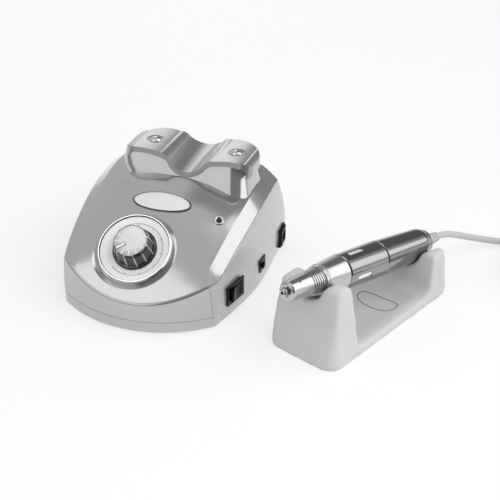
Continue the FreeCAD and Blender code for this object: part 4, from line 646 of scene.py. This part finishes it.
# Radius, height and share of the radius at the flats, from the skirt's underside to the top
KNOB_PROFILE = [
    (16.2, -1.4, 1), (16.5, -1.1, 1), (16.5, -0.1, 1), (16.3, 0.3, 1), (15.7, 0.7, 1),
    (14.9, 0.8, 1), (14.75, 1.0, 0.975), (14.5, 2.0, 0.975), (13.1, 11.8, 0.975),
    (12.9, 12.6, 0.975), (12.2, 13.25, 0.975), (11.9, 13.3, 0.985), (11.5, 13.2, 1),
    (6.0, 13.12, 1),
]
KNOB_FLATS = 12


class MICROMOTOR_OT_dial(bpy.types.Operator):
    """Finish the speed dial and its knob"""
    bl_idname = "micromotor.dial"
    bl_label = "Speed dial"

    def execute(self, context):
        set_finish("dial_bezel", self.bezel_finish())
        set_finish("dial_plate", self.plate_finish())
        knob = turned_piece("knob_turned", KNOB, KNOB_PROFILE, self.knob_finish(),
                            columns=KNOB_FLATS * 16, smooth=18, facets=KNOB_FLATS)
        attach(knob, "knob")
        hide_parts("speed_knob")
        set_finish("knob_pointer", moulded("pointer_white", grey(0.95), 0.3))
        steel = bright_metal("shaft_steel", grey(0.8), 0.2)
        for name in ("potentiometer_shaft", "potentiometer_nut"):
            set_finish(name, steel)
        set_finish("potentiometer", bright_metal("pot_case", grey(0.7), 0.4))
        return {"FINISHED"}

    def bezel_finish(self):
        """Chrome with painted shade in a fine line round its top and inside its bore."""
        made = Finish("bezel_chrome", grey(0.9), 0.1, metallic=1.0)
        x, y = made.axes(DIAL)[:2]
        radius = reach(x, y)
        # Painted shade: a fine dark ring where a step in the chrome would be shaded, and the bore
        # darkened inside
        groove_shade = radius.between(27.2, 27.45, 0.1) + radius.under(26.0)
        haze = made.noise(120, 3)
        made.set("Base Color", made.mix(groove_shade, grey(0.93), grey(0.3)))
        made.set("Roughness", haze * 0.06 + 0.1)
        return made.material

    def plate_finish(self):
        """White lacquer with a printed arc, its long ticks and the short ones between them."""
        sweep, start = 256, 128
        long_step, long_wide = 32, 1.6
        short_step, short_wide = 6.4, 0.8
        made = Finish("dial_white", grey(0.99), 0.3, coat_weight=0.5, coat_roughness=0.08)
        x, y = made.axes(DIAL)[:2]
        radius = reach(x, y)
        past = (bearing(x, y) + start) % 360
        arc = radius.between(20.55, 20.8, 0.06) * past.between(0, sweep, 0.5)
        printed = past.between(-1, sweep + 1, 0.5)
        long = ((past + long_wide / 2) % long_step).under(long_wide) * printed
        short = ((past + short_wide / 2) % short_step).under(short_wide) * printed
        long = long * radius.between(19.4, 20.6, 0.06)
        short = short * radius.between(20.0, 20.6, 0.06)
        ink = (arc + long + short).at_most(1)
        cloud = made.noise(60)
        paper = made.mix(cloud, grey(0.97), grey(1.0))
        made.set("Base Color", made.mix(ink, paper, grey(0.32)))
        made.set("Roughness", cloud * 0.08 + 0.26)
        return made.material

    def knob_finish(self):
        """Dark turned metal flanks with painted highlights along the edges between flats, under a
        brushed light top with a painted dark shadow in the pointer's slot.
        """
        top_low, top_radius, highlight_wide = 0.0130, 12.0, 2.4
        shadow_far, shadow_near, shadow_half = -0.0134, -0.0038, 0.0016
        made = Finish("knob_metal_finish", grey(0.5), 0.16, metallic=1.0)
        x, y, z = made.axes(KNOB)
        radius = reach(x, y)
        half = 180 / KNOB_FLATS
        off = abs((bearing(x, y) + half) % (2 * half) - half)
        # Painted highlight: a lighter grey band along each edge between two flats, where light
        # catches them
        edge = off.between(half - highlight_wide, half + 0.1, 0.3) * radius.between(11.5, 14.9, 0.1)
        top = z.over(top_low) * radius.under(top_radius)
        rings = made.noise(2600, 2, made.vector(radius * MM, 0.0, 0.0))
        # Painted shadow: a dark rectangle round the pointer stands for the shade inside its slot
        slot_shadow = x.between(shadow_far, shadow_near, 0.0002) * abs(y).under(shadow_half)
        haze = made.noise(140, 3)
        flank = made.mix(haze, grey(0.28), grey(0.38))
        flank = made.mix(edge, flank, grey(0.7))
        face = made.mix(rings, grey(0.74), grey(0.86))
        face = made.mix(slot_shadow, face, grey(0.18))
        made.set("Base Color", made.mix(top, flank, face))
        made.set("Roughness", haze * 0.08 + top * 0.12 + 0.12)
        made.bump(rings * top, 0.00002, 0.5)
        return made.material


class MICROMOTOR_OT_fittings(bpy.types.Operator):
    """Finish the lamp, the switches and the connections"""
    bl_idname = "micromotor.fittings"
    bl_label = "Fittings"

    def execute(self, context):
        black = moulded("black_plastic", grey(0.07), 0.38, shine=0.25)
        for name in ("switch_frame", "slide_switch_frame", "handpiece_socket", "mains_inlet",
                     "fuse_holder", "plug_body"):
            set_finish(name, black)
        gloss_black = moulded("gloss_black", grey(0.05), 0.3, shine=0.1)
        for name in ("power_rocker", "slide_switch_tab"):
            set_finish(name, gloss_black)
        chrome = bright_metal("fitting_chrome", grey(0.88), 0.12)
        set_finish("lamp_bezel", bright_metal("lamp_chrome", grey(0.76), 0.12))
        for name in ("rocker_pin", "foot_control_jack", "plug_sleeve"):
            set_finish(name, chrome)
        brass = bright_metal("contact_brass", (0.78, 0.55, 0.22), 0.22)
        for name in ("socket_contacts", "plug_pins", "commutator"):
            set_finish(name, brass)
        lens = Finish("lamp_lens", grey(0.18), 0.08, transmission_weight=0.5)
        lens.set("Roughness", lens.noise(300) * 0.05 + 0.06)
        set_finish("lamp_lens", lens.material)
        return {"FINISHED"}


class MICROMOTOR_OT_handpiece(bpy.types.Operator):
    """Finish the motor handpiece"""
    bl_idname = "micromotor.handpiece"
    bl_label = "Handpiece"

    def execute(self, context):
        bright = lathed_metal("nose_steel", grey(0.77), 0.2, HAND)
        for name in ("nose_cone", "front_collar", "collet", "spindle"):
            set_finish(name, bright)
        dark = lathed_metal("sleeve_steel", grey(0.62), 0.1, HAND)
        for name in ("chuck_ring", "motor_sleeve", "rear_cap"):
            set_finish(name, dark)
        set_finish("strain_relief", moulded("relief_rubber", grey(0.78), 0.5))
        self.grip_inlays()
        return {"FINISHED"}

    def grip_inlays(self):
        """Bright inlays in the chuck ring's four flats: a box whose sides follow a superellipse.

        Each ring is (h, b s sin t, m + a s^0.3 cos t) with h its height over the handpiece's axis
        and s its share of the outline."""
        half_long, half_wide, middle, columns = 7.7, 1.5, 40.0, 40
        finish = metallic_paint("inlay_silver", grey(0.92), 0.3, 0.3)
        along, across = superellipse(columns, 0.35)
        share = np.array((1.0, 1.0, 0.93))[:, None]
        high = np.array((12.52, 12.68, 12.74))[:, None]
        points = np.stack([high + 0 * along, half_wide * share * across,
                           middle + half_long * share ** 0.3 * along], -1).reshape(-1, 3)
        ring = np.arange(columns)
        faces = grid_faces(3, columns, True)[:, ::-1].tolist()
        faces += [ring.tolist(), (ring + 2 * columns)[::-1].tolist()]
        for turn in (4, 94, 184, 274):
            flat = HAND @ Matrix.Rotation(math.radians(turn), 4, "Z")
            inlay = new_piece(f"grip_inlay_{turn}", moved(points, flat), faces, finish, 30)
            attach(inlay, "chuck")


class MICROMOTOR_OT_inside(bpy.types.Operator):
    """Finish what is hidden in the unit and the handpiece"""
    bl_idname = "micromotor.inside"
    bl_label = "Inside"

    def execute(self, context):
        steel = lathed_metal("bearing_steel", grey(0.8), 0.2, HAND)
        for name in ("spindle_bearings", "rear_bearing", "motor_shaft", "drive_coupling",
                     "inner_barrel", "motor_can"):
            set_finish(name, steel)
        iron = bright_metal("lamination_iron", grey(0.45), 0.5, 0.2)
        for name in ("transformer_core", "rotor_core", "motor_magnets"):
            set_finish(name, iron)
        set_finish("transformer_winding", bright_metal("winding_copper", (0.62, 0.28, 0.12), 0.35))
        set_finish("circuit_board", moulded("board_green", (0.02, 0.13, 0.06), 0.35))
        set_finish("brush_carrier", moulded("carrier_brown", (0.12, 0.06, 0.03), 0.4))
        set_finish("brushes", moulded("brush_carbon", grey(0.2), 0.6))
        return {"FINISHED"}


# The trough that the stand's oval lies in: its middle across the stand, radius and lowest height
TROUGH_MIDDLE, TROUGH_RADIUS, TROUGH_LOW = 30.3, 62.0, 3.5


class MICROMOTOR_OT_stand(bpy.types.Operator):
    """Round the handpiece stand's edges and line its oval"""
    bl_idname = "micromotor.stand"
    bl_label = "Stand"

    def execute(self, context):
        finish = moulded("stand_plastic", grey(0.80), 0.5, 1400)
        stand = soft_copy("handpiece_stand", "moulded_stand", finish)
        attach(stand, "root")
        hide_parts("handpiece_stand")
        self.oval()
        return {"FINISHED"}

    def oval(self):
        """The oval's line: a superellipse laid on the trough's round floor, dark grey as painted
        shade of an embossed outline.
        """
        middle_x, middle_y = TROUGH_MIDDLE + 2.7, 87.5
        half_x, half_y, line_radius = 16.5, 7.7, 0.36
        cosine, sine = superellipse(128, 0.75)
        across = middle_x + half_x * cosine
        along = middle_y + half_y * sine
        fall = np.sqrt(TROUGH_RADIUS ** 2 - (across - TROUGH_MIDDLE) ** 2)
        high = TROUGH_LOW + TROUGH_RADIUS - fall
        path = moved(np.stack([across, along, high], 1), STAND)
        # Painted shade: a dark grey tube stands for the shade along the oval's embossed outline
        oval = loop_tube("stand_oval", path, line_radius * MM,
                         moulded("stand_oval_painted_shade", grey(0.42), 0.5, 1400))
        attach(oval, "root")


# Stage

class StageSizes(bpy.types.PropertyGroup):
    """What a user may change on the studio."""
    camera_place: bpy.props.FloatVectorProperty(
        name="Camera place", description="Where the camera stands", size=3, subtype="TRANSLATION",
        unit="LENGTH", default=(0.24974, -0.83777, 0.5831))
    camera_target: bpy.props.FloatVectorProperty(
        name="Camera target", description="What the camera looks at", size=3,
        subtype="TRANSLATION", unit="LENGTH", default=(-0.01476, 0.04953, 0.0))
    focal_length: bpy.props.FloatProperty(
        name="Focal length", description="Focal length of the camera in millimetres",
        default=100.8, min=10)


# How bright the dome is, and how much of the floor is white to the eye and in reflections
DOME_LEVEL = 0.62
FLOOR_LIFT = 0.6
# Soft boxes and flags: left, right, low and high edge, softness in degrees, change of level
DOME_BOXES = (
    (20, 57, 32, 78, 2, 1.3),
    (-172, -118, 53, 73.5, 1, 0.95),
    (-150, -96, 17, 42, 6, 0.5),
    (-22, 44, 8, 31, 3, 1.3),
    (-92, -28, -2, 54, 8, -0.5),
    (-180, -96, -2, 12, 5, -0.4),
    (60, 98, 4, 56, 8, -0.42),
)


class MICROMOTOR_OT_stage(bpy.types.Operator):
    """Build the pale floor, the studio light and the camera"""
    bl_idname = "micromotor.stage"
    bl_label = "Stage"

    def execute(self, context):
        scene = context.scene
        sizes = scene.micromotor_stage
        scene.view_settings.view_transform = "Standard"
        self.floor()
        self.world(scene)
        self.lamp("back", (-0.32, 0.72, 0.33), (-0.06, 0.05, 0.08), 0.25, 0.2)
        fill = self.lamp("fill", (0.7, -0.6, 1.0), (0.0, 0.0, 0.0), 1.2, 8.5)
        fill.visible_glossy = False
        camera = bpy.data.objects.new("photo_camera", bpy.data.cameras.new("photo_camera"))
        camera.data.lens = sizes.focal_length
        camera.data.sensor_width = 36
        camera.data.clip_start = 0.05
        where, target = Vector(sizes.camera_place), Vector(sizes.camera_target)
        camera.matrix_world = (Matrix.Translation(where)
                               @ (target - where).to_track_quat("-Z", "Y").to_matrix().to_4x4())
        scene.collection.objects.link(camera)
        scene.camera = camera
        return {"FINISHED"}

    def floor(self):
        """A plain pale floor, white to the camera and in reflections, with the object's shadow."""
        half_wide, rows, drop = 3, 13, 0.0002
        side = np.linspace(-half_wide, half_wide, rows)
        x, y = np.meshgrid(side, side)
        points = np.stack([x, y, np.full_like(x, -drop)], -1).reshape(-1, 3)
        made = Finish("floor_white", (0.93, 0.93, 0.93), 0.9)
        white = made.add("Emission", None, Color=(1, 1, 1, 1), Strength=1.0)
        path = made.add("LightPath")
        seen = path.out("Is Camera Ray") + path.out("Is Glossy Ray")
        seen = seen + path.out("Is Transmission Ray")
        lifted = made.add("MixShader", None, seen * FLOOR_LIFT, Field(made, made.shader.outputs[0]),
                          white.out(0))
        made.feed(made.tree.nodes["Material Output"].inputs["Surface"], lifted.out(0))
        floor = new_piece("floor", points, grid_faces(rows, rows, False).tolist(), made.material)

    def world(self, scene):
        """White to the camera; to the object, a grey dome with broad soft boxes and dark flags."""
        world = bpy.data.worlds.new("studio")
        world.use_nodes = True
        dome = Nodes(world.node_tree)
        split = dome.add("SeparateXYZ", None, dome.add("TexCoord").out("Generated"))
        x, y, z = (split.out(axis) for axis in "XYZ")
        azimuth = bearing(x, y)
        elevation = z.math("ARCSINE", z) * (180 / math.pi)
        level = DOME_LEVEL
        for left, right, low, high, soft, change in DOME_BOXES:
            inside = azimuth.between(left, right, soft) * elevation.between(low, high, soft)
            level = level + inside * change
        grey_level = dome.add("CombineColor", None, level, level, level).out("Color")
        camera_ray = dome.add("LightPath").out("Is Camera Ray")
        seen = dome.mix(camera_ray, grey_level, (1, 1, 1))
        background = world.node_tree.nodes["Background"]
        dome.feed(background.inputs["Color"], seen)
        scene.world = world

    def lamp(self, name, where, target, size, power):
        """A square soft box that faces a point."""
        light = bpy.data.lights.new(name, "AREA")
        light.size = size
        light.energy = power
        box = bpy.data.objects.new(name, light)
        aim = (Vector(target) - Vector(where)).to_track_quat("-Z", "Y")
        box.matrix_world = Matrix.Translation(Vector(where)) @ aim.to_matrix().to_4x4()
        bpy.context.scene.collection.objects.link(box)
        return box


class MICROMOTOR_PT_sidebar(bpy.types.Panel):
    """Buttons and sizes of the micromotor"""
    bl_idname = "MICROMOTOR_PT_sidebar"
    bl_label = "Micromotor"
    bl_space_type = "VIEW_3D"
    bl_region_type = "UI"
    bl_category = "Micromotor"

    def draw(self, context):
        for operator in OPERATORS:
            self.layout.operator(operator.bl_idname)
        for group in GROUPS:
            sizes = getattr(context.scene, group)
            for name in sizes.__annotations__:
                self.layout.prop(sizes, name)


GROUPS = {
    "micromotor_cord": CordSizes, "micromotor_shell": ShellSizes, "micromotor_stage": StageSizes,
}
OPERATORS = (
    MICROMOTOR_OT_stage, MICROMOTOR_OT_cord, MICROMOTOR_OT_shell, MICROMOTOR_OT_dial,
    MICROMOTOR_OT_fittings, MICROMOTOR_OT_handpiece, MICROMOTOR_OT_inside, MICROMOTOR_OT_stand,
)
CLASSES = (*GROUPS.values(), *OPERATORS, MICROMOTOR_PT_sidebar)


def register():
    """Adds the classes and the scene's groups of sizes."""
    for item in CLASSES:
        bpy.utils.register_class(item)
    for name, group in GROUPS.items():
        setattr(bpy.types.Scene, name, bpy.props.PointerProperty(type=group))


def unregister():
    """Removes what register adds."""
    for name in GROUPS:
        delattr(bpy.types.Scene, name)
    for item in reversed(CLASSES):
        bpy.utils.unregister_class(item)


def main():
    """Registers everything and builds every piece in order."""
    register()
    for operator in OPERATORS:
        group, name = operator.bl_idname.split(".")
        getattr(getattr(bpy.ops, group), name)()


if __name__ == "__main__":
    main()
